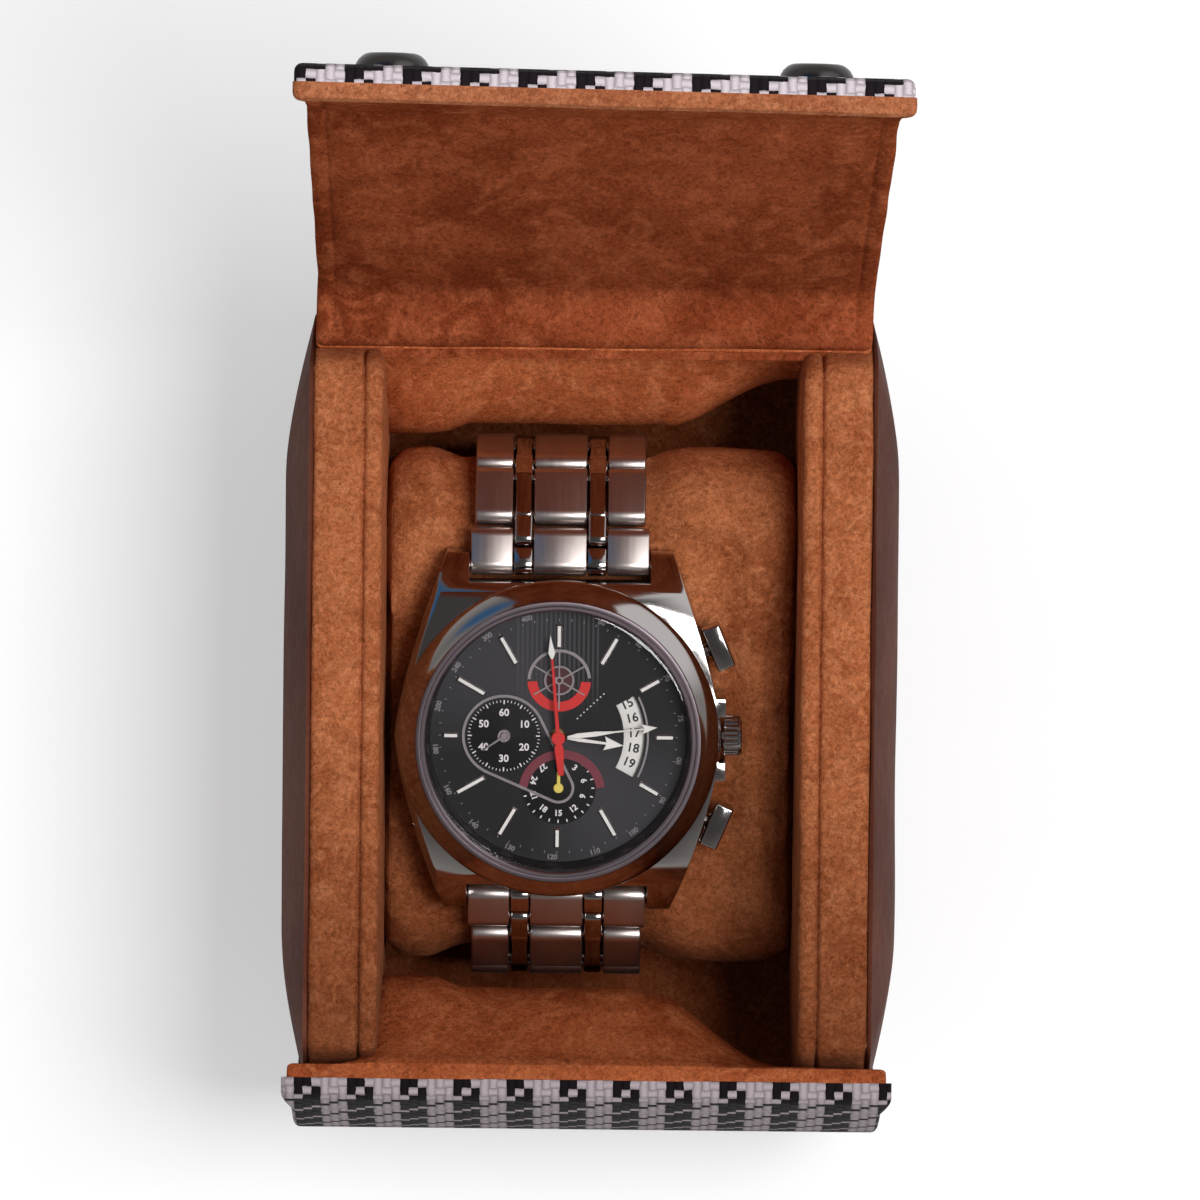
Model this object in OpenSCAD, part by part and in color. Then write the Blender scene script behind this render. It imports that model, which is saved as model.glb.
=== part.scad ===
// Travel case for one wristwatch: a barrel-shaped box with padded side cheeks,
// a check-cloth wrap that carries on as a folding flap, and a lift-out pillow
// with the watch strapped round it. Millimetres. The origin is the middle of
// the flat base, +Y is the back where the flap hinges, and +Z is up.

/* [Case] */
// Height of the cheeks' flat rims above the table
rim_z = 66; // [60:1:72]
// Half the length of the cheeks at their rims
cheek_half_len = 45; // [42:0.5:48]
// Half the inside length of the case at its fullest
mid_half_len = 52.4; // [51:0.2:56]
// Inside radius of the bottom corners
corner_r = 27; // [22:1:30]
// Distance from the centre to a cheek's inner face
cheek_in_x = 27.7; // [27:0.1:30]
// Distance from the centre to a cheek's outer face, under the leather
cheek_out_x = 36.9; // [35:0.1:39]
// How far the leather bulges past the cheek
leather_bulge = 4; // [2:0.5:6]

/* [Layers] */
// Thickness of the suede
suede_t = 1.2; // [0.8:0.1:1.6]
// Thickness of the stiffening board
board_t = 2.2; // [1.6:0.1:2.6]
// Thickness of the check cloth with its backing
cloth_t = 1.2; // [0.8:0.1:1.6]
// Thickness of the padded panel on a cheek's inner face
cheek_pad_t = 2.5; // [2:0.1:3.5]

/* [Flap] */
// Length of the main panel, hinge to fold
main_len = 100; // [99:0.5:102]
// Length of the end panel, fold to hem
end_len = 30; // [26:1:34]
// Width of the flap
flap_w = 73.4; // [70:0.2:75]
// Width of the hem
hem_w = 75.2; // [73:0.2:77]
// How far the open main panel leans back from upright
open_lean = 11; // [8:1:16]
// Angle that the end panel is bent forward at rest, from the main panel's line
rest_fold = 11; // [8:1:14]
// Distance between the two closure caps
cap_spacing = 51.8; // [46:0.2:56]

/* [Pillow] */
// Width of the pillow
pillow_w = 54.2; // [52:0.2:54.4]
// Half the length of the pillow under the bracelet
pillow_half_len = 32.4; // [31:0.2:33]

/* [Watch] */
// Sideways place of the watch on the pillow
watch_x = -4.2; // [-5:0.1:4]
// Forward place of the watch on the pillow
watch_y = -4; // [-5:0.1:-3]
// Height of the dial's centre above the table
watch_z = 56; // [55.8:0.1:56.6]
// Forward tilt of the watch
watch_tilt = 10.6; // [10.2:0.1:11]
// Lug tip to lug tip
lug_span = 48; // [47:0.5:49]
// Radius of the bezel
bezel_r = 21.3; // [20.8:0.1:21.4]
// Radius of the dial
dial_r = 17.4; // [17:0.1:17.5]
// Width of the bracelet
bracelet_w = 22.6; // [20:0.2:23]

/* [Hidden] */

wrap_t = suede_t + board_t + cloth_t;
floor_z = wrap_t;
corner_z = floor_z + corner_r;
flat_half = mid_half_len - corner_r;
arc_steps = 10;
gap = 0.3;
clear = 0.08;

// The front wall's lip stands a little clear of the cheeks; the back wall stops
// below the rim, where the hinge strip takes over.
lip_half_len = cheek_half_len + 1.7;
back_top_z = rim_z - 5;
hem_depth = 3;
// The lip's rim is this far below the cheeks' rims
lip_drop = 0.4;
lining_half_w = 37.5;
board_half_w = 38;
cloth_half_w = 39;
lip_half_w = 40.1;
lip_flare_z = 9;

// ---- outlines in the Y-Z plane ------------------------------------------

function arc(c, r, a0, a1, n = arc_steps) =
    [for (i = [0:n]) let (a = a0 + (a1 - a0) * i / n) [c[0] + r * cos(a), c[1] + r * sin(a)]];
function flip_y(pts) = [for (i = [len(pts) - 1:-1:0]) [-pts[i][0], pts[i][1]]];
function back_to_front(pts) = [for (i = [len(pts) - 1:-1:0]) pts[i]];

// Radius of the wall's bow, from its fullest point to its top
function bow_r(top_half) =
    let (drop = mid_half_len - top_half, rise = rim_z - corner_z)
    (drop * drop + rise * rise) / (2 * drop);
// The wall from the floor up, d outside the cheek's own edge
function wall_path(d, top_half, top_z) =
    let (r = bow_r(top_half) + d)
    concat(
        arc([flat_half, corner_z], corner_r + d, -90, 0),
        arc([mid_half_len - r + d, corner_z], r, 0, asin((top_z - corner_z) / r))
    );
function shell_path(d, front_z, back_z) =
    concat(flip_y(wall_path(d, lip_half_len, front_z)), wall_path(d, cheek_half_len, back_z));
function cheek_outline(d) =
    let (half = wall_path(d, cheek_half_len, rim_z + d)) concat(flip_y(half), half);

module along_x(half_w) {
    rotate([90, 0, 90]) translate([0, 0, -half_w]) linear_extrude(2 * half_w) children();
}
module from_x(x0, x1) {
    rotate([90, 0, 90]) translate([0, 0, x0]) linear_extrude(x1 - x0) children();
}
module shell_band(d0, d1, front_z, back_z) {
    polygon(concat(shell_path(d1, front_z, back_z), back_to_front(shell_path(d0, front_z, back_z))));
}

// ---- the case -------------------------------------------------------------

// The front wall widens towards the lip in an S-curve
function flare(z, w0, w1) =
    let (t = max(0, min(1, (z - rim_z + lip_flare_z) / (lip_flare_z - 1))))
    w0 + (w1 - w0) * t * t * (3 - 2 * t);
module wall_width(w0, w1) {
    flare_zs = [for (i = [0:8]) rim_z - lip_flare_z + lip_flare_z * i / 8];
    right_edge = concat([[w0, -1]], [for (z = flare_zs) [flare(z, w0, w1), z]],
        [[w1, rim_z + 3]]);
    rotate([90, 0, 0]) linear_extrude(70)
        polygon(concat(right_edge, [for (i = [len(right_edge) - 1:-1:0])
            [-right_edge[i][0], right_edge[i][1]]]));
    translate([-w0, -0.01, -1]) cube([2 * w0, 70, rim_z + 2]);
}

module outer_fabric() {
    color([0.75, 0.73, 0.74])
    intersection() {
        union() {
            along_x(lip_half_w) shell_band(wrap_t - cloth_t, wrap_t, rim_z - lip_drop, back_top_z);
            along_x(lip_half_w) lip_hem(wrap_t / 2, wrap_t);
        }
        wall_width(cloth_half_w, lip_half_w);
    }
}
module suede_lining() {
    color([0.62, 0.36, 0.22])
    intersection() {
        union() {
            along_x(lip_half_w) shell_band(0, suede_t, rim_z - lip_drop, back_top_z);
            along_x(lip_half_w) lip_hem(0, wrap_t / 2);
        }
        wall_width(lining_half_w, lip_half_w - 0.6);
    }
}
// The turned edge that closes the lip over its board
module lip_hem(d0, d1) {
    bow = bow_r(lip_half_len);
    function top_part(d) = arc([-(mid_half_len - bow), corner_z], bow + d,
        180 - asin((rim_z - hem_depth - corner_z) / (bow + d)),
        180 - asin((rim_z - lip_drop - corner_z) / (bow + d)), 3);
    polygon(concat(top_part(d1), back_to_front(top_part(d0))));
}

// The board is a hair thinner than the space between suede and cloth
board_ease = 0.03;
module board(front_z, back_z) {
    along_x(board_half_w)
        shell_band(suede_t + board_ease, suede_t + board_t - board_ease, front_z, back_z);
}
module base_board() {
    color("burlywood")
    intersection() {
        board(rim_z - hem_depth, back_top_z);
        translate([-50, -flat_half + 0.2, -1]) cube([100, 2 * flat_half - 0.4, 20]);
    }
}
magnet_r = 4;
magnet_t = 1.6;
magnet_drop = 14;
module wall_board(side_y, lo, front_z, back_z) {
    intersection() {
        board(front_z, back_z);
        translate([-50, side_y > 0 ? lo : -lo - 60, -1]) cube([100, 60, 90]);
    }
}
module front_board() {
    color("burlywood")
    difference() {
        wall_board(-1, flat_half, rim_z - hem_depth, back_top_z);
        for (s = [-1, 1]) at_front_magnet(s) cylinder(r = magnet_r + clear, h = magnet_t + 4, $fn = 48);
    }
}
module back_board() {
    color("burlywood") wall_board(1, flat_half, rim_z - hem_depth, back_top_z - 0.5);
}
// The place of a magnet in the front board, facing outwards along the wall's normal
module at_front_magnet(s) {
    r = bow_r(lip_half_len) + suede_t + 0.3;
    a = asin((rim_z - magnet_drop - corner_z) / r);
    translate([s * cap_spacing / 2, -(mid_half_len - bow_r(lip_half_len)) - r * cos(a),
        corner_z + r * sin(a)])
        rotate([90 - a, 0, 0]) children();
}
module front_magnets() {
    color("silver")
    for (s = [-1, 1]) at_front_magnet(s) cylinder(r = magnet_r, h = magnet_t, $fn = 48);
}

// ---- the cheeks -------------------------------------------------------------

skin_t = 1;
module cheek_core() {
    color("wheat") from_x(cheek_in_x + cheek_pad_t, cheek_out_x) polygon(cheek_outline(-skin_t));
}
module cheek_gusset() {
    color([0.65, 0.39, 0.25])
    from_x(cheek_in_x + cheek_pad_t, cheek_out_x) difference() {
        polygon(cheek_outline(-0.05));
        polygon(cheek_outline(-skin_t));
    }
}
module cheek_lining() {
    color([0.6, 0.36, 0.22]) from_x(cheek_in_x, cheek_in_x + cheek_pad_t) polygon(cheek_outline(-0.1));
}
// A padded leather panel: flat in the middle, rounding over at its edges
leather_steps = 6;
leather_round = 22;
leather_edge_t = 0.5;
module leather_side() {
    color([0.35, 0.2, 0.15])
    hull()
        for (i = [0:leather_steps - 1])
            let (t = i / (leather_steps - 1), rise = (leather_bulge - leather_edge_t) * sin(90 * t))
            from_x(cheek_out_x, cheek_out_x + leather_edge_t + rise)
                polygon(cheek_outline(-0.2 - leather_round * t));
}

// ---- the flap ---------------------------------------------------------------

// Hinge line, and the main panel's start on its suede face, in Y-Z
hinge_y = cheek_half_len + 4.8;
hinge_z = rim_z - 3.8;
flap_start = [cheek_half_len + 9.5, rim_z - 1.5];
main_dir = 90 - open_lean;
end_dir = main_dir + rest_fold;
fold_at = flap_start + main_len * [cos(main_dir), sin(main_dir)];
panel_gap = 1.2;

// Places children with x across the case, y along the panel from its start, and
// z out of its cloth face
module on_main() {
    multmatrix([[-1, 0, 0, 0],
        [0, cos(main_dir), sin(main_dir), flap_start[0]],
        [0, sin(main_dir), -cos(main_dir), flap_start[1]],
        [0, 0, 0, 1]]) children();
}
module on_end() {
    multmatrix([[-1, 0, 0, 0],
        [0, cos(end_dir), sin(end_dir), fold_at[0]],
        [0, sin(end_dir), -cos(end_dir), fold_at[1]],
        [0, 0, 0, 1]]) children();
}
module panel(w, y0, y1, z0, z1) {
    translate([-w / 2, y0, z0]) cube([w, y1 - y0, z1 - z0]);
}
edge_turn = 2.3;
module skin(w, y0, y1, z0, z1, hem_z0, hem_z1) {
    panel(w, y0, y1, z0, z1);
    for (s = [-1, 1])
        translate([s > 0 ? w / 2 - edge_turn : -w / 2, y0, hem_z0])
            cube([edge_turn, y1 - y0, hem_z1 - hem_z0]);
}
module flap_board() {
    color("burlywood") on_main()
        panel(flap_w - 2 * edge_turn - 0.2, 0, main_len - panel_gap, suede_t, suede_t + board_t);
}
module flap_suede() {
    color([0.5, 0.26, 0.15]) on_main()
        skin(flap_w, 0, main_len - panel_gap, 0, suede_t, 0, wrap_t / 2);
}
module flap_fabric() {
    color([0.75, 0.73, 0.74]) on_main()
        skin(flap_w, 0, main_len - panel_gap, wrap_t - cloth_t, wrap_t, wrap_t / 2, wrap_t);
}

// The end panel widens a little into its turned hem
module end_outline(w0, w1, y0, y1, y2) {
    polygon([[-w0 / 2, y0], [w0 / 2, y0], [w0 / 2, y1], [w1 / 2, y2 - 2], [w1 / 2, y2],
        [-w1 / 2, y2], [-w1 / 2, y2 - 2], [-w0 / 2, y1]]);
}
module end_skin(z0, z1, hem_z0, hem_z1) {
    difference() {
        union() {
            translate([0, 0, z0]) linear_extrude(z1 - z0)
                end_outline(flap_w, hem_w, panel_gap, end_len - 8, end_len);
            translate([0, 0, hem_z0]) linear_extrude(hem_z1 - hem_z0)
                end_outline(flap_w, hem_w, panel_gap, end_len - 8, end_len);
        }
        panel(flap_w - 2 * edge_turn, -1, end_len - edge_turn, suede_t, suede_t + board_t);
    }
}
module end_board() {
    color("burlywood") on_end()
    difference() {
        panel(flap_w - 2 * edge_turn - 0.2, panel_gap, end_len - edge_turn - 0.1,
            suede_t, suede_t + board_t);
        at_caps() translate([0, 0, -1]) cylinder(r = magnet_r + clear, h = 9, $fn = 48);
    }
}
module end_suede() {
    color([0.5, 0.26, 0.15]) on_end() end_skin(0, suede_t, suede_t, wrap_t / 2);
}
module end_fabric() {
    color([0.75, 0.73, 0.74]) on_end()
    difference() {
        end_skin(wrap_t - cloth_t, wrap_t, wrap_t / 2, wrap_t - cloth_t);
        at_caps() translate([0, 0, -1]) cylinder(r = cap_post_r + 0.05, h = 20, $fn = 32);
    }
}
cap_r = 4.5;
cap_h = 2;
cap_post_r = 1.5;
cap_from_hem = 11;
module at_caps() {
    for (s = [-1, 1]) translate([s * cap_spacing / 2, end_len - cap_from_hem, 0]) children();
}
// Domed rivet caps whose posts hold the magnets behind the cloth
module closure_caps() {
    dome_r = (cap_r * cap_r + cap_h * cap_h) / (2 * cap_h);
    color([0.2, 0.2, 0.2]) on_end() at_caps() {
        translate([0, 0, wrap_t]) rotate_extrude($fn = 64) intersection() {
            translate([0, cap_h - dome_r + 0.3]) circle(r = dome_r, $fn = 96);
            square([cap_r, cap_h + 0.3]);
        }
        translate([0, 0, suede_t + magnet_t]) cylinder(r = cap_post_r, h = wrap_t - suede_t - magnet_t, $fn = 32);
    }
}
module flap_magnets() {
    color("silver") on_end() at_caps()
        translate([0, 0, suede_t]) cylinder(r = magnet_r, h = magnet_t, $fn = 48);
}

// Soft strips of suede and cloth that bend where the panels fold
strip_t = suede_t + cloth_t;
module hinge_strip() {
    wall_top = wall_path(0, cheek_half_len, back_top_z);
    p0 = wall_top[len(wall_top) - 1] + [1, 0.05];
    p1 = flap_start + [cos(main_dir + 90), sin(main_dir + 90)] * -1.2 + [0, -0.05];
    upper = concat(arc([p0[0] + 3.4, back_top_z], 3.4, 180, 80, 8),
        [[p1[0] - 2, back_top_z + 2.9]], [p1]);
    lower = [p1 + [strip_t, -1.4], [p1[0] + 0.4, back_top_z + 0.6],
        [p0[0] + 3.4, back_top_z + 1], [p0[0] + strip_t, p0[1]]];
    color([0.55, 0.3, 0.18]) along_x(flap_w / 2) polygon(concat(upper, lower));
}
module fold_strip() {
    a = fold_at - (panel_gap - 0.05) * [cos(main_dir), sin(main_dir)];
    b = fold_at + (panel_gap - 0.05) * [cos(end_dir), sin(end_dir)];
    out_a = [sin(main_dir), -cos(main_dir)];
    out_b = [sin(end_dir), -cos(end_dir)];
    color([0.55, 0.3, 0.18]) along_x(flap_w / 2)
        polygon([a + out_a * 0.6, fold_at + out_a * 0.6, b + out_b * 0.6,
            b + out_b * (wrap_t - 0.6), fold_at + out_a * (wrap_t - 0.6), a + out_a * (wrap_t - 0.6)]);
}

// ---- the pillow ---------------------------------------------------------------

// Corner circles of the pillow's section under the bracelet: [y, z, r]
top_r = 10;
low_r = 11.4;
pillow_low_z = 9.4;
front_top = [-(pillow_half_len - top_r), 34.5];
back_top = [pillow_half_len - top_r, 42.5];
front_low = [-(pillow_half_len - low_r), pillow_low_z + low_r];
back_low = [pillow_half_len - low_r, pillow_low_z + low_r];
top_slope = atan((back_top[1] - front_top[1]) / (back_top[0] - front_top[0]));

// One section, swollen by s: a closed loop of points going round the pillow
section_steps = 9;
function section(s) = concat(
    arc(front_low, low_r + s, 180, 270, section_steps),
    arc(back_low, low_r + s, -90, 0, section_steps),
    arc(back_top, top_r + s, 0, 90 + top_slope, section_steps),
    arc(front_top, top_r + s, 90 + top_slope, 180, section_steps)
);
// The suede swells out beside the bracelet and draws in at the side seams
swell = 2;
draw_in = 5;
band_margin = 2;
function band_dip(x) =
    let (t = max(0, min(1, (abs(x - watch_x) - bracelet_w / 2 - band_margin) / 3))) t * t * (3 - 2 * t);
function edge_round(x) =
    let (t = max(0, (abs(x) - pillow_w / 2 + draw_in) / draw_in))
    draw_in * (1 - sqrt(max(0, 1 - t * t)));
function crown(x) = 0.5 * (1 - pow(2 * x / pillow_w, 2));
pillow_x = concat([for (i = [0:6]) -pillow_w / 2 + draw_in * (1 - cos(90 * i / 6))],
    [for (i = [1:11]) -pillow_w / 2 + draw_in + (pillow_w - 2 * draw_in) * i / 12],
    [for (i = [6:-1:0]) pillow_w / 2 - draw_in * (1 - cos(90 * i / 6))]);
function under_watch(y) = watch_z + (y - watch_y) * tan(watch_tilt) - 7.9 / cos(watch_tilt);
function pressed(p, x) =
    abs(x - watch_x) < 23 && p[1] > 40 && abs(p[0] - watch_y) < 27
        ? [p[0], min(p[1], under_watch(p[0]))] : p;
function pillow_ring(x) =
    let (s = swell * band_dip(x) - edge_round(x) + crown(x) * band_dip(x))
    [for (p = section(s)) let (q = pressed(p, x)) [x, q[0], q[1]]];
module cushion() {
    rings = [for (x = pillow_x) pillow_ring(x)];
    n = len(rings[0]);
    m = len(rings);
    points = [for (ring = rings) each ring];
    sides = [for (i = [0:m - 2], j = [0:n - 1])
        let (a = i * n + j, b = i * n + (j + 1) % n)
        each [[a, b + n, b], [a, a + n, b + n]]];
    caps = concat([for (j = [1:n - 2]) [0, j, j + 1]],
        [for (j = [1:n - 2]) [(m - 1) * n, (m - 1) * n + j + 1, (m - 1) * n + j]]);
    polyhedron(points, concat(sides, caps));
}
core_size = [44, 50, 22];
core_z = 14;
module pillow_cover() {
    color([0.65, 0.39, 0.24])
    difference() {
        cushion();
        core_block(0);
    }
}
module core_block(inset) {
    translate([-core_size[0] / 2 + inset, -core_size[1] / 2 + inset, core_z + inset])
        cube([core_size[0] - 2 * inset, core_size[1] - 2 * inset, core_size[2] - 2 * inset]);
}
module pillow_core() {
    color("ivory") core_block(0.05);
}

// ---- the watch: x to 3 o'clock, y to 12, z out of the dial ----------------------

module on_pillow() {
    translate([watch_x, watch_y, watch_z]) rotate([watch_tilt, 0, 0]) children();
}
lug_tip_half = 15;
case_half_w = 21.7;
lug_gap = 24;
lug_root_y = 20.4;
case_top = 1.5;
case_low = -5.5;
case_bore = dial_r + 0.25;
crown_z = -1.8;
crown_x = 21.9;
bar_y = 22.3;
bar_z = -4.5;

// Half-width of the case, tapering from the flanks to the lug tips
function flank(y) = case_half_w - (case_half_w - lug_tip_half) * pow(abs(y) / (lug_span / 2), 1.4);
module case_plan() {
    ys = [for (i = [-12:12]) lug_span / 2 * i / 12];
    polygon(concat([for (y = ys) [flank(y), y]], [for (i = [24:-1:0]) [-flank(ys[i]), ys[i]]]));
}
// Side view: the lugs curve down past the case back
module case_side() {
    half = lug_span / 2 + 0.01;
    top = [for (i = [-10:10]) let (y = half * i / 10) [y, case_top - 5.2 * pow(abs(y) / half, 5)]];
    low = [for (i = [10:-1:-10]) let (y = half * i / 10) [y, case_low - 1.7 * pow(abs(y) / half, 4)]];
    polygon(concat(top, low));
}
module watch_case() {
    color("silver") on_pillow()
    difference() {
        intersection() {
            translate([0, 0, -12]) linear_extrude(20) union() {
                case_plan();
                for (s = [-1, 1]) translate([20, s * 4.3 - 1.2]) square([3.2, 2.4]);
            }
            along_x(30) case_side();
        }
        translate([0, 0, -20]) cylinder(r = case_bore, h = 40, $fn = 96);
        translate([0, 0, case_low - 9]) cylinder(r = 18.5, h = 9, $fn = 96);
        for (s = [-1, 1]) translate([-lug_gap / 2, s > 0 ? lug_root_y : -lug_root_y - 8, -20])
            cube([lug_gap, 8, 40]);
        for (s = [-1, 1]) translate([-30, s * bar_y, bar_z]) rotate([0, 90, 0])
            translate([0, 0, 30 - lug_gap / 2 - 1.5]) cylinder(r = 0.6, h = lug_gap + 3, $fn = 32);
        translate([14, 0, crown_z]) rotate([0, 90, 0]) cylinder(r = 1.35, h = 12, $fn = 32);
        for (s = [-1, 1]) at_pusher(s) {
            translate([-1.4, -3.4, -2.2]) cube([9, 6.8, 4.4]);
            translate([-9, 0, 0]) rotate([0, 90, 0]) cylinder(r = 1, h = 9, $fn = 32);
        }
    }
}
module watch_bezel() {
    color("silver") on_pillow() rotate_extrude($fn = 96)
        polygon([[18.3, case_top + 0.02], [bezel_r, case_top + 0.02], [bezel_r, 1.9], [20.9, 2.6],
            [19.6, 4], [19.2, 4.15], [18.5, 4.15], [18.3, 4]]);
}
module watch_crystal() {
    color([0.8, 0.85, 0.9, 0.3]) on_pillow() translate([0, 0, 2.55]) rotate_extrude($fn = 96)
        polygon([[0, 0], [18.25, 0], [18.25, 1.3], [18, 1.5], [0, 1.75]]);
}
module dial_flange() {
    color([0.55, 0.5, 0.52]) on_pillow() rotate_extrude($fn = 96)
        polygon([[16.9, 0.02], [dial_r, 0.02], [dial_r, 1.53], [18.2, 1.6], [18.2, 2.5], [17.6, 2.5]]);
}

// The dial, with its date window and the holes of its five hands
subdial_left = [-7.2, 0];
subdial_low = [0, -6.9];
motif_at = [0, 7.5];
date_in = 8.7;
date_out = 11.4;
date_half = 29;
arbor_r = 0.4;
module date_sector(r0, r1, half) {
    polygon(concat(arc([0, 0], r1, -half, half, 12), arc([0, 0], r0, half, -half, 12)));
}
module watch_dial() {
    color([0.06, 0.06, 0.07]) on_pillow()
    difference() {
        translate([0, 0, -0.5]) cylinder(r = dial_r, h = 0.5, $fn = 96);
        translate([0, 0, -1]) linear_extrude(2) date_sector(date_in, date_out, date_half);
        translate([0, 0, -1]) cylinder(r = 1.1, h = 2, $fn = 32);
        for (p = [subdial_left, subdial_low]) translate([p[0], p[1], -1])
            cylinder(r = arbor_r + 0.05, h = 2, $fn = 24);
    }
}
// [hour, inner radius, outer radius]
markers = [[1, 11.2, 15.5], [2, 12.4, 15.5], [3, 12.85, 15.4], [4, 12.4, 15.5], [5, 11.2, 15.5],
    [6, 12.45, 15.1], [7, 11.2, 15.5], [8, 11.2, 15.5], [9, 13.2, 15.3], [10, 11.2, 15.5],
    [11, 11.2, 15.5], [12, 11.9, 15.1]];
module hour_markers() {
    color("white") on_pillow()
        for (m = markers) rotate([0, 0, 90 - 30 * m[0]])
            translate([m[1], -0.38, 0.01]) cube([m[2] - m[1], 0.76, 0.35]);
}
module ring(r0, r1, h) {
    difference() {
        cylinder(r = r1, h = h, $fn = 64);
        translate([0, 0, -1]) cylinder(r = r0, h = h + 2, $fn = 64);
    }
}
module subdial_rings() {
    color("silver") on_pillow() {
        translate([subdial_left[0], subdial_left[1], 0.01]) ring(5.2, 5.5, 0.12);
        translate([motif_at[0], motif_at[1], 0.01]) ring(2.9, 4.15, 0.15);
        translate([subdial_low[0], subdial_low[1], 0.01]) linear_extrude(0.12)
            polygon(concat(arc([0, 0], 5.8, 15, 165, 16), arc([0, 0], 5.1, 165, 15, 16)));
    }
}
module date_disc() {
    color("white") on_pillow() translate([0, 0, -0.9]) ring(8.3, 11.8, 0.3);
}
module movement() {
    color([0.7, 0.65, 0.5]) on_pillow()
    difference() {
        translate([0, 0, -5.2]) cylinder(r = 16, h = 4.1, $fn = 96);
        translate([8, 0, crown_z]) rotate([0, 90, 0]) cylinder(r = 0.7, h = 10, $fn = 24);
    }
}
module case_gasket() {
    color([0.1, 0.1, 0.1]) on_pillow() translate([0, 0, case_low + 0.01]) ring(16.3, 17.3, 0.5);
}
module case_back() {
    color("silver") on_pillow() rotate_extrude($fn = 96)
        polygon([[0, case_low - 0.02], [18.4, case_low - 0.02], [18.4, -6.3], [17, -7.2], [0, -7.2]]);
}
module crown_tube() {
    color("silver") on_pillow() translate([17.7, 0, crown_z]) rotate([0, 90, 0])
    difference() {
        cylinder(r = 1.3, h = 3.6, $fn = 32);
        translate([0, 0, -1]) cylinder(r = 0.68, h = 6, $fn = 32);
    }
}
module winding_stem() {
    color("silver") on_pillow() translate([9, 0, crown_z]) rotate([0, 90, 0])
        cylinder(r = 0.6, h = 14, $fn = 32);
}
// The crown's grip is a ring of flutes
crown_r = 2.6;
crown_len = 2.4;
flutes = 24;
module crown() {
    color("silver") on_pillow() translate([crown_x, 0, crown_z]) rotate([0, 90, 0])
    difference() {
        cylinder(r = crown_r, h = crown_len, $fn = 64);
        translate([0, 0, -1]) cylinder(r = 0.66, h = 2.2, $fn = 32);
        for (i = [0:flutes - 1]) rotate([0, 0, 360 * i / flutes])
            translate([crown_r + 0.12, 0, -1]) cylinder(r = 0.3, h = crown_len + 0.6, $fn = 13);
    }
}
pusher_at = [20.35, 11.75];
pusher_turn = 23;
pusher_z = -1.6;
module at_pusher(s) {
    translate([pusher_at[0], s * pusher_at[1], pusher_z]) rotate([0, 0, s * pusher_turn]) children();
}
module pusher(s) {
    color("silver") on_pillow() at_pusher(s) {
        translate([-0.45, -3, -1.7]) cube([2.5, 6, 3.4]);
        translate([-4.4, 0, 0]) rotate([0, 90, 0]) cylinder(r = 0.92, h = 4, $fn = 32);
    }
}
module pusher_top() { pusher(1); }
module pusher_bottom() { pusher(-1); }

// ---- the hands ------------------------------------------------------------------

// A tapering hand that points along +x, on its own tube or arbor
module hand(len, tail, w_root, w_tip, z, hub_r, hole_r, low) {
    translate([0, 0, z]) difference() {
        linear_extrude(0.2) union() {
            polygon([[-tail, -w_root * 0.35], [0, -w_root / 2], [len, -w_tip / 2],
                [len, w_tip / 2], [0, w_root / 2], [-tail, w_root * 0.35]]);
            circle(r = hub_r, $fn = 32);
        }
        if (hole_r > 0) translate([0, 0, -1]) cylinder(r = hole_r, h = 3, $fn = 32);
    }
    translate([0, 0, low]) difference() {
        cylinder(r = hole_r > 0 ? hole_r + 0.2 : arbor_r, h = z - low + 0.01, $fn = 32);
        if (hole_r > 0) translate([0, 0, -1]) cylinder(r = hole_r, h = 9, $fn = 32);
    }
}
hour_angle = -7;
minute_angle = 6.6;
chrono_angle = 94.9;
module hour_hand() {
    color("white") on_pillow() rotate([0, 0, hour_angle])
        hand(8.9, 1.5, 1.1, 0.5, 0.55, 1.35, 0.8, -0.6);
}
module minute_hand() {
    color("white") on_pillow() rotate([0, 0, minute_angle])
        hand(13.2, 1.5, 0.9, 0.4, 1, 1.15, 0.5, -0.6);
}
module chrono_hand() {
    color("red") on_pillow() rotate([0, 0, chrono_angle])
        hand(13.4, 5, 0.5, 0.2, 1.45, 0.85, 0, -0.6);
}
module small_seconds_hand() {
    color("white") on_pillow() translate([subdial_left[0], subdial_left[1], 0])
        rotate([0, 0, 215]) hand(3.4, 0.9, 0.35, 0.2, 0.2, 0.55, 0, -0.6);
}
module counter_hand() {
    color("yellow") on_pillow() translate([subdial_low[0], subdial_low[1], 0])
        rotate([0, 0, 84]) hand(2.1, 0.8, 0.45, 0.3, 0.2, 0.6, 0, -0.6);
}

// ---- the bracelet, closed round the pillow -----------------------------------------

// The links ride this far outside the pillow's section, so that a straight link
// clears the pillow's round corners
link_t = 2.9;
link_off = link_t / 2 + 0.95;
links_front = 7;
clasp_links = 4;
links_back = 8;
segments = links_front + clasp_links + links_back;
function to_world(y, z) = [
    watch_y + y * cos(watch_tilt) - z * sin(watch_tilt),
    watch_z + y * sin(watch_tilt) + z * cos(watch_tilt)];
front_bar = to_world(-bar_y, bar_z);
back_bar = to_world(bar_y, bar_z);
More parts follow.
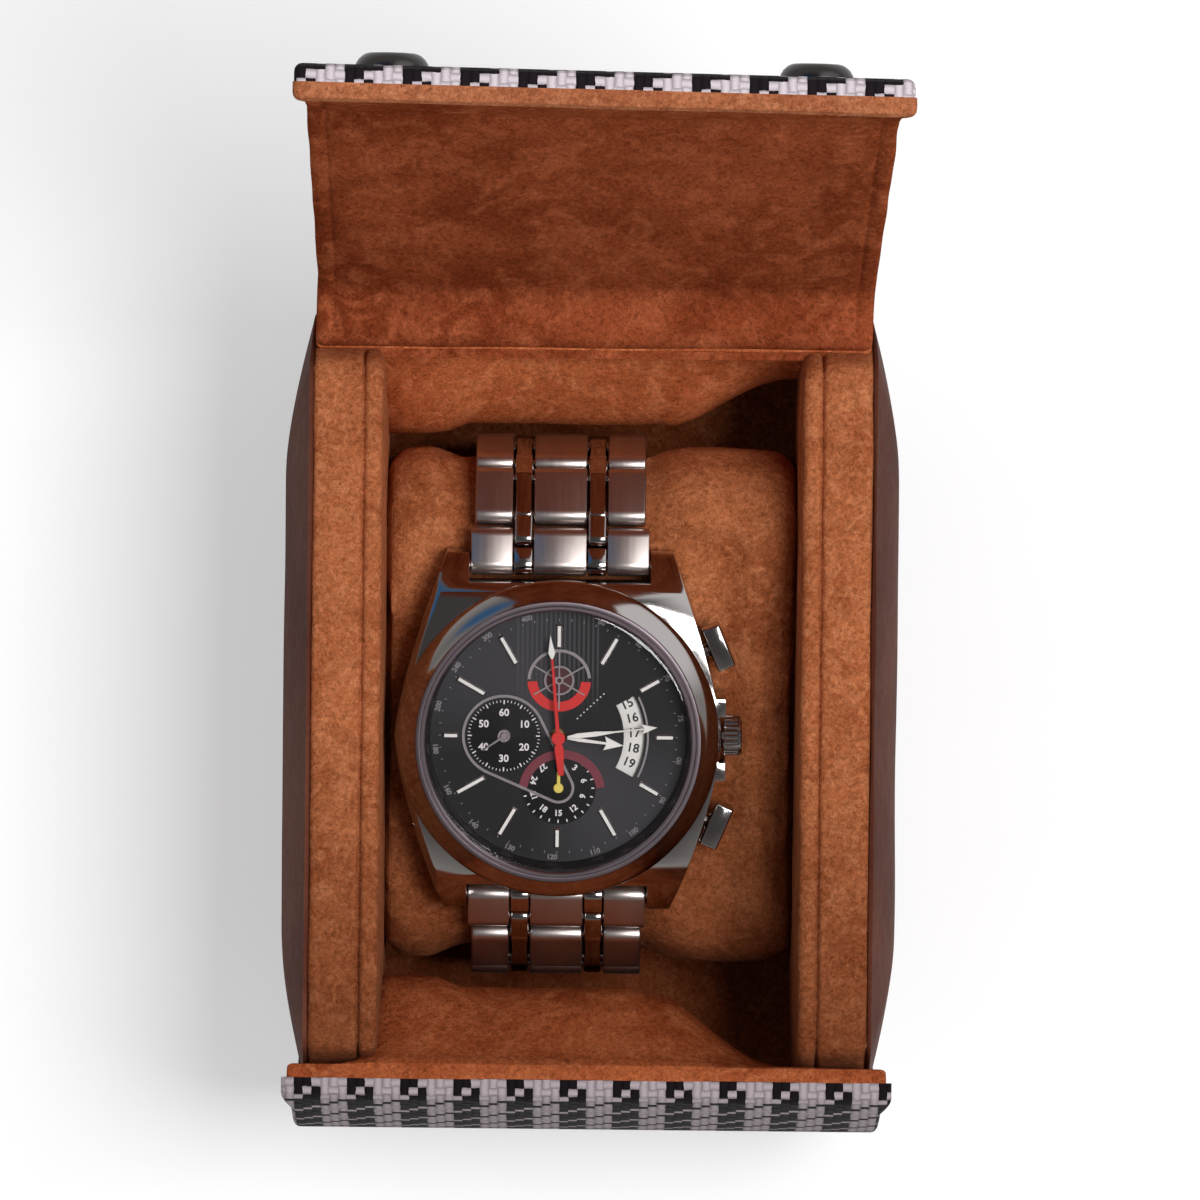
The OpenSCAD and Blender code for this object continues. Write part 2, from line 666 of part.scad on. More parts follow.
// Angle at which a line from p touches the circle at c, on the given side
function touch(p, c, r, side) =
    let (v = p - c) atan2(v[1], v[0]) + side * acos(r / norm(v));
run_r = top_r + link_off;
turn_r = low_r + link_off;
front_touch = touch(front_bar, front_top, run_r, 1);
back_touch = touch(back_bar, back_top, run_r, -1);
fine = 24;
route = concat(
    [front_bar],
    arc(front_top, run_r, front_touch, 180, fine),
    arc(front_low, turn_r, 180, 270, fine),
    arc(back_low, turn_r, -90, 0, fine),
    arc(back_top, run_r, 0, back_touch, fine),
    [back_bar]);
// Length along the route up to each of its points
function run_up(i) = i == 0 ? 0 : run_up(i - 1) + norm(route[i] - route[i - 1]);
run = [for (i = [0:len(route) - 1]) run_up(i)];
total = run[len(run) - 1];
function at_run(s) =
    let (k = max([for (i = [0:len(run) - 2]) run[i] <= s ? i : 0]),
         t = (s - run[k]) / (run[k + 1] - run[k]))
    route[k] + (route[k + 1] - route[k]) * t;
// An end link is shorter than the others
end_run = 5.2;
pitch = (total - 2 * end_run) / (segments - 2);
function joint_run(i) = i == 0 ? 0 : i == segments ? total - 0.001 : end_run + (i - 1) * pitch;
joints = [for (i = [0:segments]) at_run(joint_run(i))];
function is_link(i) = i < links_front || i >= links_front + clasp_links;

// Places children between two points of the route: y along it, z outwards
module between(a, b) {
    d = (b - a) / norm(b - a);
    m = (a + b) / 2;
    translate([watch_x, 0, 0])
        multmatrix([[-1, 0, 0, 0], [0, d[0], d[1], m[0]], [0, d[1], -d[0], m[1]], [0, 0, 0, 1]])
            children();
}
module on_segment(i) { between(joints[i], joints[i + 1]) children(); }
// The two pin centres nearest joint i, one on each segment
pin_back = 1.7;
function pin_on(i, side) =
    let (a = joints[i], b = joints[i + 1], end = i == 0 || i == segments - 1)
    (a + b) / 2 + (b - a) / norm(b - a) * side * (end ? end_run / 2 - pin_back : link_len / 2);
function pins_at(i) = [pin_on(i - 1, 1), pin_on(i, -1)];
column_gap = 0.2;
outer_w = 5;
polished_w = 2.4;
centre_w = 7;
// A link with round ends and a pin hole at each, len long between its end centres
module link(w, len, t) {
    end_r = t / 2;
    rotate([0, 90, 0]) translate([0, 0, -w / 2]) difference() {
        union() {
            translate([-end_r, -len / 2, 0]) cube([t, len, w]);
            for (s = [-1, 1]) translate([0, s * len / 2, 0]) cylinder(r = end_r, h = w, $fn = 24);
        }
        for (s = [-1, 1]) translate([0, s * len / 2, -1]) cylinder(r = pin_r, h = w + 2, $fn = 13);
    }
}
pin_r = 0.5;
link_len = pitch - 2 * pin_back;
outer_x = bracelet_w / 2 - outer_w / 2;
polished_x = centre_w / 2 + column_gap + polished_w / 2;
module bracelet_outer_links() {
    color("silver")
    for (i = [1:segments - 2]) if (is_link(i))
        on_segment(i) for (s = [-1, 1]) translate([s * outer_x, 0, 0]) link(outer_w, link_len, link_t);
}
module bracelet_centre_links() {
    color("silver")
    for (i = [1:segments - 2]) if (is_link(i)) on_segment(i) link(centre_w, link_len, link_t);
}
module bracelet_polished_links() {
    color([0.4, 0.38, 0.38])
    for (i = [1:segments - 1]) if (is_link(i) && is_link(i - 1)) {
        pair = pins_at(i);
        between(pair[0], pair[1]) for (s = [-1, 1]) translate([s * polished_x, 0, 0])
            link(polished_w, norm(pair[1] - pair[0]), 2.5);
    }
}
module bracelet_pin() {
    translate([-bracelet_w / 2 + 0.3, 0, 0]) rotate([0, 90, 0])
        cylinder(r = pin_r - 0.05, h = bracelet_w - 0.6, $fn = 13);
}
module bracelet_pins() {
    color("gray") {
        for (i = [1:segments - 2]) if (is_link(i)) on_segment(i)
            for (s = [-1, 1]) translate([0, s * link_len / 2, 0]) bracelet_pin();
        on_segment(0) translate([0, end_run / 2 - pin_back, 0]) bracelet_pin();
        on_segment(segments - 1) translate([0, pin_back - end_run / 2, 0]) bracelet_pin();
    }
}
// An end link fills the gap between the lugs, from its spring bar to the first
// joint, which lies towards +y here; two slots take the polished links
module end_link() {
    w = lug_gap - 0.4;
    bar_end = -end_run / 2;
    pin_end = end_run / 2 - pin_back;
    difference() {
        rotate([0, 90, 0]) translate([0, 0, -w / 2]) difference() {
            union() {
                translate([-1.45, bar_end, 0]) cube([2.9, pin_end - bar_end, w]);
                for (y = [bar_end, pin_end]) translate([0, y, 0]) cylinder(r = 1.45, h = w, $fn = 24);
            }
            translate([0, bar_end, -1]) cylinder(r = 0.6, h = w + 2, $fn = 24);
            translate([0, pin_end, -1]) cylinder(r = pin_r, h = w + 2, $fn = 13);
        }
        for (s = [-1, 1]) translate([s * polished_x - polished_w / 2 - 0.1, pin_end - 1.5, -3])
            cube([polished_w + 0.2, 9, 6]);
    }
}
module end_links() {
    color("silver") {
        on_segment(0) end_link();
        on_segment(segments - 1) mirror([0, 1, 0]) end_link();
    }
}
module spring_bars() {
    color("gray")
    for (p = [front_bar, back_bar])
        translate([watch_x - lug_gap / 2 - 1.3, p[0], p[1]]) rotate([0, 90, 0])
            cylinder(r = 0.5, h = lug_gap + 2.6, $fn = 24);
}
// The folding clasp lies flat under the pillow
clasp_w = 18;
module clasp_cover() {
    y0 = joints[links_front][0] + 0.6;
    y1 = joints[links_front + clasp_links][0] - 0.6;
    color("silver") translate([watch_x - clasp_w / 2, y0, floor_z + gap]) {
        cube([clasp_w, y1 - y0, 1.1]);
        for (x = [0, clasp_w - 1]) translate([x, 0, 0]) cube([1, y1 - y0, 3]);
    }
}
module clasp_blades() {
    y0 = joints[links_front][0] + 0.9;
    y1 = joints[links_front + clasp_links][0] - 0.9;
    color("gray") translate([watch_x, 0, floor_z + gap + 1.2]) {
        translate([-6, y0, 0]) cube([12, y1 - y0, 0.8]);
        translate([-4, y0 + 2, 1]) cube([8, y1 - y0 - 4, 0.8]);
    }
}

// ---- every node ----------------------------------------------------------------------

module left() { mirror([1, 0, 0]) children(); }

outer_fabric();
base_board();
front_board();
back_board();
suede_lining();
front_magnets();
left() cheek_core();  // cheek_core_left
cheek_core();  // cheek_core_right
left() cheek_gusset();  // cheek_gusset_left
cheek_gusset();  // cheek_gusset_right
left() cheek_lining();  // cheek_lining_left
cheek_lining();  // cheek_lining_right
left() leather_side();  // leather_side_left
leather_side();  // leather_side_right
hinge_strip();
flap_board();
flap_suede();
flap_fabric();
fold_strip();
end_board();
end_suede();
end_fabric();
closure_caps();
flap_magnets();
pillow_core();
pillow_cover();
watch_case();
watch_bezel();
watch_crystal();
dial_flange();
watch_dial();
hour_markers();
subdial_rings();
date_disc();
movement();
case_gasket();
case_back();
crown_tube();
winding_stem();
crown();
pusher_top();
pusher_bottom();
hour_hand();
minute_hand();
chrono_hand();
small_seconds_hand();
counter_hand();
spring_bars();
end_links();
bracelet_outer_links();
bracelet_centre_links();
bracelet_polished_links();
bracelet_pins();
clasp_cover();
clasp_blades();
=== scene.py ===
# %% [markdown]
# # A travel case for one wristwatch
# The case is a barrel-shaped box. A check cloth wraps under it and carries on as
# a folding flap, two padded cheeks close its sides, and a suede pillow inside
# carries a steel chronograph. The imported solids give every size and place, and
# this script dresses them: each fabric, leather and steel piece is made here, in
# millimetres turned into metres. Most ride on the solid body they belong to; the
# flap's leaves ride on none.

# %% Load the imported solids
import math

import bmesh
import bpy
from mathutils import Matrix, Vector, noise


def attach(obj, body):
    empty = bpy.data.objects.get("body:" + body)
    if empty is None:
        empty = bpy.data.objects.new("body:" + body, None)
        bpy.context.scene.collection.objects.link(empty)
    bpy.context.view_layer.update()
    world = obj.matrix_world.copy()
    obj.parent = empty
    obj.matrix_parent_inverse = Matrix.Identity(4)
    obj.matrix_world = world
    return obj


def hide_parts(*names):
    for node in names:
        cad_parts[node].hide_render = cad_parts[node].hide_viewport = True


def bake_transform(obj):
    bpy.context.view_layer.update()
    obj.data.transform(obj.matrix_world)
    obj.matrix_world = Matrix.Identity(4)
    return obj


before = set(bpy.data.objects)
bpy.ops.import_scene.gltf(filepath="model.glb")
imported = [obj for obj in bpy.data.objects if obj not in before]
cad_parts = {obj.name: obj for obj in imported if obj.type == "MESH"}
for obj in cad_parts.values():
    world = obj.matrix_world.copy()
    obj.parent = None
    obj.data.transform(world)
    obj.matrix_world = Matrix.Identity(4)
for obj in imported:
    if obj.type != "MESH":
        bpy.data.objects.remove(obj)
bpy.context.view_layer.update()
mm = 0.001

# %% [markdown]
# ## The camera
# The photograph is taken from nearly straight above, a long way off, so the tall
# flap grows only a little towards the top. A long lens far above the rims gives
# that flat look. The lens follows from the scale at the rims, and the small
# sideways step to the left sets the flap a little to the right, as in the picture.

# %% Camera from the photograph's scale
photo_px = 1200
px_per_mm = 7.6
rim_z = 66
eye_height = 1575
eye_aside = -5
aim = Vector((1.1, 14.1, rim_z)) * mm
roll = math.radians(0.63)

camera_data = bpy.data.cameras.new("camera")
camera_data.sensor_width = 36
camera_data.lens = camera_data.sensor_width * eye_height / (photo_px / px_per_mm)
camera_data.clip_end = 20
camera = bpy.data.objects.new("camera", camera_data)
bpy.context.scene.collection.objects.link(camera)
eye = aim + Vector((eye_aside, 0, eye_height)) * mm
backward = (eye - aim).normalized()
picture_up = Vector((-math.sin(roll), math.cos(roll), 0))
picture_right = picture_up.cross(backward).normalized()
axes = Matrix((picture_right, backward.cross(picture_right), backward)).transposed()
camera.matrix_world = Matrix.Translation(eye) @ axes.to_4x4()
bpy.context.scene.camera = camera
print("lens", round(camera_data.lens, 1), "mm")

# %% [markdown]
# ## Lines of the case
# Every fabric piece of the wrap follows one side view: a floor, two round bottom
# corners and two walls that bow outwards and lean in again. The same few numbers
# that shape the solids give this line here, so cloth and solid agree.

# %% The side view, in millimetres
mid_half_len = 52.4
cheek_half_len = 45
lip_half_len = cheek_half_len + 1.7
corner_r = 27
suede_t = 1.2
cloth_t = 1.2
wrap_t = 4.6
corner_z = wrap_t + corner_r
flat_half = mid_half_len - corner_r
lip_z = rim_z - 0.4
back_top_z = rim_z - 5


def arc(centre_y, centre_z, radius, start, end, steps):
    """Points (y, z) along an arc given in degrees."""
    angles = [math.radians(start + (end - start) * i / steps) for i in range(steps + 1)]
    return [Vector((centre_y + radius * math.cos(a), centre_z + radius * math.sin(a))) for a in angles]


def wall(offset, top_half, top_z):
    """One wall from the floor's edge up to top_z, offset outside the inner face."""
    drop = mid_half_len - top_half
    rise = rim_z - corner_z
    radius = (drop**2 + rise**2) / (2 * drop) + offset
    top_angle = math.degrees(math.asin((top_z - corner_z) / radius))
    corner = arc(flat_half, corner_z, corner_r + offset, -90, 0, 24)
    return corner + arc(mid_half_len - radius + offset, corner_z, radius, 0, top_angle, 20)[1:]


def mirrored(line):
    """The same line on the other side, in the opposite order."""
    return [Vector((-p.x, p.y)) for p in reversed(line)]


def fillet(before, corner, after, radius, steps=8):
    """An arc that rounds the corner between two straight runs."""
    one = (before - corner).normalized()
    other = (after - corner).normalized()
    half = one.angle(other) / 2
    centre = corner + (one + other).normalized() * radius / math.sin(half)
    reach = radius / math.tan(half)
    start = corner + one * reach - centre
    turn = -start.angle_signed(corner + other * reach - centre)
    a0 = math.degrees(math.atan2(start.y, start.x))
    return arc(centre.x, centre.y, radius, a0, a0 + math.degrees(turn), steps)


def resample(line, step):
    """The same line with points about step apart."""
    runs = [0]
    for a, b in zip(line, line[1:]):
        runs.append(runs[-1] + (b - a).length)
    count = max(2, round(runs[-1] / step))
    points, k = [], 0
    for i in range(count + 1):
        run = runs[-1] * i / count
        while k < len(runs) - 2 and runs[k + 1] < run:
            k += 1
        share = (run - runs[k]) / max(runs[k + 1] - runs[k], 1e-9)
        points.append(line[k].lerp(line[k + 1], share))
    return points


def smooth_step(low, high, value):
    """0 below low, 1 above high, and a soft ramp between."""
    t = max(0.0, min(1.0, (value - low) / (high - low)))
    return t * t * (3 - 2 * t)


print("floor corner at", flat_half, "walls reach", mid_half_len)

# %% [markdown]
# ## A loft from one ring of points
# A hem, a turned edge or a cheek is the same ring of points carried along a line
# while it changes a little. The edge-extrude operator does that one step at a
# time. Each point remembers its number in the ring, so the new ring finds its
# places, and its distance along and across, which becomes the weave's UV map.


# %% Loft and finish helpers
def loft(rings, centre=0, cap_ends=True):
    """Extrudes the first ring through all the others. centre is the point where across is 0."""
    bm = bmesh.new()
    number = bm.verts.layers.int.new("number")
    along = bm.verts.layers.float.new("along")
    across = bm.verts.layers.float.new("across")
    count = len(rings[0])
    verts = [bm.verts.new(p) for p in rings[0]]
    for i, v in enumerate(verts):
        v[number] = i
    edges = [bm.edges.new((verts[i], verts[(i + 1) % count])) for i in range(count)]
    first_edges = list(edges)
    run = 0.0
    for k, ring in enumerate(rings):
        if k > 0:
            grown = bmesh.ops.extrude_edge_only(bm, edges=edges)["geom"]
            verts = [g for g in grown if isinstance(g, bmesh.types.BMVert)]
            fresh = set(verts)
            edges = [g for g in grown if isinstance(g, bmesh.types.BMEdge) and set(g.verts) <= fresh]
            run += (ring[centre] - rings[k - 1][centre]).length
        reach = measure_across(ring, centre)
        for v in verts:
            v.co = ring[v[number]]
            v[along] = run
            v[across] = reach[v[number]]
    if cap_ends:
        for rim in (first_edges, edges):
            bmesh.ops.contextual_create(bm, geom=rim)
    bmesh.ops.recalc_face_normals(bm, faces=bm.faces)
    lay_uv(bm, number, along, across, count)
    return bm


def measure_across(ring, centre):
    """Signed distance round the ring from its centre point."""
    count = len(ring)
    reach = [0.0] * count
    for direction in (1, -1):
        run = 0.0
        for i in range(1, count // 2 + 1):
            here = (centre + direction * i) % count
            run += (ring[here] - ring[(here - direction) % count]).length
            reach[here] = direction * run
    return reach


def lay_uv(bm, number, along, across, count):
    """UV from the stored distances, in metres."""
    uv = bm.loops.layers.uv.new("weave")
    for face in bm.faces:
        places = [loop.vert[across] for loop in face.loops]
        wraps = max(places) - min(places) > 0.02 and len(face.verts) == 4
        for loop in face.loops:
            u = loop.vert[across]
            loop[uv].uv = (max(places) if wraps and u < 0 else u, loop.vert[along])


def make_piece(bm, name, material, body=None, replaced=(), sharp=35):
    """Turns a bmesh into a shaded piece of the object, in place."""
    limit = math.radians(sharp)
    for edge in bm.edges:
        edge.smooth = edge.calc_face_angle(0) < limit
    for face in bm.faces:
        face.smooth = True
    mesh = bpy.data.meshes.new(name)
    bm.to_mesh(mesh)
    bm.free()
    piece = bpy.data.objects.new(name, mesh)
    bpy.context.scene.collection.objects.link(piece)
    mesh.materials.append(material)
    if body:
        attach(piece, body)
    if replaced:
        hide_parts(*replaced)
    print(f"{name}: {len(mesh.vertices)} points, {len(mesh.polygons)} faces")
    return piece


# %% [markdown]
# ## Nodes, in short
# Materials are node trees. Two helpers keep their making readable: one adds a
# node and fills its inputs with numbers or with other nodes' outputs, and one
# does arithmetic. Colours are written as the eye sees them on a screen and are
# turned into the linear values that light needs.


# %% Helpers for materials
def colour(red, green, blue):
    """A screen colour, 0 to 255, as linear light."""
    def linear(c):
        c /= 255
        return c / 12.92 if c <= 0.04045 else ((c + 0.055) / 1.055) ** 2.4
    return (linear(red), linear(green), linear(blue), 1.0)


def add_node(tree, kind, inputs=None, **settings):
    """A shader node whose inputs are values or other nodes' outputs."""
    made = tree.nodes.new("ShaderNode" + kind)
    for key, value in settings.items():
        setattr(made, key, value)
    for key, value in (inputs or {}).items():
        if isinstance(value, bpy.types.NodeSocket):
            tree.links.new(value, made.inputs[key])
        else:
            made.inputs[key].default_value = value
    return made


def object_place(tree):
    """The Object coordinates of the piece being shaded."""
    return add_node(tree, "TexCoord").outputs["Object"]


def calc(tree, operation, *values):
    """The output of a Math node."""
    inputs = dict(enumerate(values))
    return add_node(tree, "Math", inputs, operation=operation).outputs[0]


def mix_colour(tree, share, one, other, blend="MIX"):
    """The output of a colour Mix node. Its colour sockets are numbers 6 and 7."""
    made = add_node(tree, "Mix", {0: share, 6: one, 7: other}, data_type="RGBA", blend_type=blend)
    return made.outputs[2]


def ramp(tree, value, low, high):
    """value stretched so that low becomes 0 and high becomes 1, clamped."""
    inputs = {"Value": value, "From Min": low, "From Max": high}
    return add_node(tree, "MapRange", inputs).outputs[0]


def noise_at(tree, place, scale, detail=2.0, distortion=0.0):
    """A noise value of about 0 to 1 at a place."""
    inputs = {"Vector": place, "Scale": scale, "Detail": detail, "Distortion": distortion}
    return add_node(tree, "TexNoise", inputs).outputs[0]


def new_group(name, inputs, outputs):
    """A node group with named sockets: its tree, its input node and its output node."""
    tree = bpy.data.node_groups.new(name, "ShaderNodeTree")
    kinds = {"colour": "NodeSocketColor", "value": "NodeSocketFloat", "vector": "NodeSocketVector"}
    for title, kind in inputs.items():
        tree.interface.new_socket(title, in_out="INPUT", socket_type=kinds[kind])
    for title, kind in outputs.items():
        tree.interface.new_socket(title, in_out="OUTPUT", socket_type=kinds[kind])
    return tree, tree.nodes.new("NodeGroupInput"), tree.nodes.new("NodeGroupOutput")


def place_group(tree, group, inputs):
    """A group placed in a material, with its inputs filled in."""
    return add_node(tree, "Group", inputs, node_tree=group)


def new_material(name, **constants):
    """A material with its Principled shader. Constants are set on the shader's own sockets."""
    material = bpy.data.materials.new(name)
    material.use_nodes = True
    tree = material.node_tree
    shader = tree.nodes["Principled BSDF"]
    for key, value in constants.items():
        shader.inputs[key.replace("_", " ")].default_value = value
    return material, tree, shader


def bump(tree, shader, height, strength, depth):
    """Feeds a height, in metres of depth, to the shader's normal."""
    made = add_node(tree, "Bump", {"Height": height, "Strength": strength, "Distance": depth})
    tree.links.new(made.outputs[0], shader.inputs["Normal"])


# %% [markdown]
# ## Suede
# Suede is a mat of short fibres. Where a hand has brushed it, they lie over and
# look darker or paler, in patches the size of a fingertip. Close to, the fibres
# make a fine grain with short streaks. One group gives the patches, streaks and
# grain, and each piece sets its own tones. Some tones are painted light: the
# flap's darker tones are painted shade for its steep face, the lining's paler ones
# are painted light in the hollow, and the rims, pillow and lining take a painted
# shade towards the lip. Sheen brightens it where it turns away.

# %% The nap group
nap, nap_in, nap_out = new_group(
    "nap",
    {"Place": "vector", "Base": "colour", "Brushed": "colour", "Raised": "colour", "Patch size": "value"},
    {"Color": "colour", "Height": "value", "Roughness": "value"},
)
nap_place = nap_in.outputs["Place"]
patch_scale = calc(nap, "DIVIDE", 1.0, nap_in.outputs["Patch size"])
patches = noise_at(nap, nap_place, patch_scale, 3.0, 0.8)
small_scale = calc(nap, "MULTIPLY", patch_scale, 4.0)
small_patches = noise_at(nap, nap_place, small_scale, 3.0, 1.0)
tufts = noise_at(nap, nap_place, 1700.0, 2.0, 0.9)
fibres = noise_at(nap, nap_place, 4600.0, 2.0, 0.4)
base_share = ramp(nap, patches, 0.36, 0.64)
nap_tone = mix_colour(nap, base_share, nap_in.outputs["Brushed"], nap_in.outputs["Base"])
raised_share = calc(nap, "MULTIPLY", ramp(nap, small_patches, 0.46, 0.74), 0.8)
nap_tone = mix_colour(nap, raised_share, nap_tone, nap_in.outputs["Raised"])
fibre = calc(nap, "ADD", calc(nap, "MULTIPLY", tufts, 0.62), calc(nap, "MULTIPLY", fibres, 0.38))
fibre_shade = ramp(nap, fibre, 0.34, 0.66)
dark_tone = mix_colour(nap, 1.0, nap_tone, (0.62, 0.58, 0.56, 1), "MULTIPLY")
light_tone = mix_colour(nap, 1.0, nap_tone, (1.36, 1.4, 1.46, 1), "MULTIPLY")
nap_tone = mix_colour(nap, fibre_shade, dark_tone, light_tone)
nap.links.new(nap_tone, nap_out.inputs["Color"])
nap_height = calc(nap, "ADD", fibre, calc(nap, "MULTIPLY", small_patches, 0.6))
nap.links.new(nap_height, nap_out.inputs["Height"])
nap_rough = calc(nap, "SUBTRACT", 1.0, calc(nap, "MULTIPLY", fibre_shade, 0.2))
nap.links.new(nap_rough, nap_out.inputs["Roughness"])


def suede(name, base, brushed, raised, patch_mm, painted_front_shade=None, sheen=0.0, lengthen=1.0):
    """A suede with its own tones. The tuple after the patch size is a painted shade, (start, end, share):
    from start to end along y, in millimetres, its tone falls to a share, as it does in the picture towards
    the lip.
    lengthen draws the brushed patches out along z."""
    material, tree, shader = new_material(
        name, Sheen_Weight=sheen, Sheen_Roughness=0.4, Sheen_Tint=colour(255, 190, 150),
        Specular_IOR_Level=0.0)
    tones = {"Base": colour(*base), "Brushed": colour(*brushed), "Raised": colour(*raised)}
    place = object_place(tree)
    drawn = add_node(tree, "Mapping", {"Vector": place, "Scale": (1, 1, 1 / lengthen)}).outputs[0]
    made = place_group(tree, nap, {**tones, "Place": drawn, "Patch size": patch_mm * mm})
    tone = made.outputs["Color"]
    # painted shade: from start to end along y the tone falls to a share, darker towards the lip
    if painted_front_shade:
        start, end, share = painted_front_shade
        run = add_node(tree, "SeparateXYZ", {"Vector": place}).outputs[1]
        painted_front_shade_tone = mix_colour(tree, 1.0, tone, (share, share * 0.94, share * 0.92, 1), "MULTIPLY")
        tone = mix_colour(tree, ramp(tree, run, start * mm, end * mm), tone, painted_front_shade_tone)
    tree.links.new(tone, shader.inputs["Base Color"])
    tree.links.new(made.outputs["Roughness"], shader.inputs["Roughness"])
    bump(tree, shader, made.outputs["Height"], 0.6, 0.3 * mm)
    return material


pale_nap = (190, 120, 80)
# Darker tones than the rims': painted shade for the flap's steep face.
suede_flap = suede("suede_flap", (146, 72, 42), (120, 54, 29), (170, 92, 58), 17, lengthen=3.2)
suede_hem = suede("suede_hem", (166, 100, 66), (148, 84, 54), (182, 118, 82), 8, sheen=0.05)
# The tuples (start, end, share) on the rims, pillow and lining are painted shade towards the lip.
suede_rim = suede(
    "suede_rim", (172, 101, 63), (152, 84, 50), pale_nap, 8, (0, -42, 0.5), 0.05)
suede_pillow = suede(
    "suede_pillow", (176, 106, 66), (146, 80, 47), pale_nap, 11, (14, -26, 0.55), 0.03)
# Paler tones than the rims': painted light against the shade of the hollow.
suede_inside = suede(
    "suede_inside", (188, 104, 62), (162, 82, 46), (206, 124, 80), 13, (34, -30, 0.7), lengthen=1.6)
print("suedes made")

# %% [markdown]
# ## Check cloth
# The cloth is woven from groups of three white and three black threads, both
# ways, in a twill where each thread passes over two and under one. That rule
# alone gives the small white and black squares of a check. Each thread is
# darkened towards its edges, a painted shade for its round yarn, and a fine fuzz
# varies it at random. The pattern is worked out from the UV map, which holds real
# distances, so it follows the cloth round its turned edges. Towards the lip a
# painted shade darkens it, as it does the suede.

# %% The weave group and the cloth
thread = 7.0 / 6 * mm
weave, weave_in, weave_out = new_group(
    "weave",
    {"Place": "vector", "Thread": "value", "White": "colour", "Black": "colour"},
    {"Color": "colour", "Height": "value"},
)
weave_xy = add_node(weave, "SeparateXYZ", {"Vector": weave_in.outputs["Place"]})
wander = noise_at(weave, weave_in.outputs["Place"], 900.0, 1.0)
wander = calc(weave, "MULTIPLY", calc(weave, "SUBTRACT", wander, 0.5), 0.25)
threads = []
for axis in range(2):
    scaled = calc(weave, "DIVIDE", weave_xy.outputs[axis], weave_in.outputs["Thread"])
    threads.append(calc(weave, "ADD", scaled, wander))
index = [calc(weave, "FLOOR", t) for t in threads]
within = [calc(weave, "SUBTRACT", calc(weave, "FRACT", t), 0.5) for t in threads]


def is_white(number):
    """1 for the first three threads of every six."""
    return calc(weave, "LESS_THAN", calc(weave, "FLOORED_MODULO", number, 6.0), 2.5)


warp_white, weft_white = is_white(index[0]), is_white(index[1])
twill = calc(weave, "FLOORED_MODULO", calc(weave, "ADD", index[0], index[1]), 3.0)
warp_over = calc(weave, "LESS_THAN", twill, 1.5)


def on_top(warp, weft):
    """The warp's value where the warp lies on top, and the weft's where the weft does."""
    weft_over = calc(weave, "SUBTRACT", 1.0, warp_over)
    return calc(weave, "ADD", calc(weave, "MULTIPLY", warp_over, warp),
                calc(weave, "MULTIPLY", weft_over, weft))


white = on_top(warp_white, weft_white)
rounding = []
for share in within:
    squared = calc(weave, "MULTIPLY", share, share)
    rounding.append(calc(weave, "SUBTRACT", 1.0, calc(weave, "MULTIPLY", squared, 4.0)))
yarn = on_top(*rounding)
fuzz = noise_at(weave, weave_in.outputs["Place"], 6000.0, 3.0)
check = mix_colour(weave, white, weave_in.outputs["Black"], weave_in.outputs["White"])
# painted shade: each thread darkens towards its edges by its rounding, with a random fuzz
fuzz_shade = calc(weave, "ADD", calc(weave, "MULTIPLY", fuzz, 0.5), 0.3)
yarn_painted_shade_and_fuzz = calc(weave, "ADD", calc(weave, "MULTIPLY", yarn, 0.45), fuzz_shade)
yarn_painted_shade_colour = add_node(weave, "CombineColor", {0: yarn_painted_shade_and_fuzz, 1: yarn_painted_shade_and_fuzz, 2: yarn_painted_shade_and_fuzz}).outputs[0]
check = mix_colour(weave, 1.0, check, yarn_painted_shade_colour, "MULTIPLY")
weave.links.new(check, weave_out.inputs["Color"])
cloth_height = calc(weave, "ADD", yarn, calc(weave, "MULTIPLY", fuzz, 0.4))
weave.links.new(cloth_height, weave_out.inputs["Height"])

check_cloth, tree, shader = new_material(
    "check_cloth", Roughness=0.85, Sheen_Weight=0.04, Sheen_Roughness=0.5, Specular_IOR_Level=0.1)
weave_uv = add_node(tree, "UVMap", uv_map="weave").outputs[0]
made = place_group(tree, weave, {
    "Place": weave_uv, "Thread": thread, "White": colour(214, 202, 208), "Black": colour(30, 23, 28)})
cloth_y = add_node(tree, "SeparateXYZ", {"Vector": object_place(tree)}).outputs[1]
# painted shade: the cloth darkens towards the lip
cloth_painted_shade = mix_colour(tree, 1.0, made.outputs["Color"], (0.62, 0.6, 0.6, 1), "MULTIPLY")
cloth_tone = mix_colour(tree, ramp(tree, cloth_y, 10 * mm, -46 * mm), made.outputs["Color"], cloth_painted_shade)
tree.links.new(cloth_tone, shader.inputs["Base Color"])
bump(tree, shader, made.outputs["Height"], 0.8, 0.2 * mm)
print("thread", round(thread / mm, 2), "mm")

# %% [markdown]
# ## Leather, steel and the small finishes
# The side panels are smooth dark leather with a fine pebble grain. The watch has
# two steels: polished, nearly a mirror, and brushed, whose fine scratches run
# along the bracelet and spread the light across it.


# %% Leather
leather, tree, shader = new_material("leather_brown", Specular_IOR_Level=0.03)
leather_place = object_place(tree)
cells = add_node(tree, "TexVoronoi", {"Vector": leather_place, "Scale": 1300.0}, feature="SMOOTH_F1")
pebbles = cells.outputs[0]
wrinkles = noise_at(tree, leather_place, 420.0, 4.0, 0.7)
tone = noise_at(tree, leather_place, 45.0, 3.0)
leather_tone = mix_colour(tree, ramp(tree, tone, 0.35, 0.65), colour(84, 42, 30), colour(108, 62, 46))
leather_tone = mix_colour(tree, calc(tree, "MULTIPLY", pebbles, 0.5), leather_tone, colour(62, 33, 26))
tree.links.new(leather_tone, shader.inputs["Base Color"])
leather_rough = calc(tree, "ADD", 0.36, calc(tree, "MULTIPLY", wrinkles, 0.22))
tree.links.new(leather_rough, shader.inputs["Roughness"])
height = calc(
    tree, "SUBTRACT", calc(tree, "MULTIPLY", wrinkles, 0.6), calc(tree, "MULTIPLY", pebbles, 0.5))
bump(tree, shader, height, 0.35, 0.2 * mm)


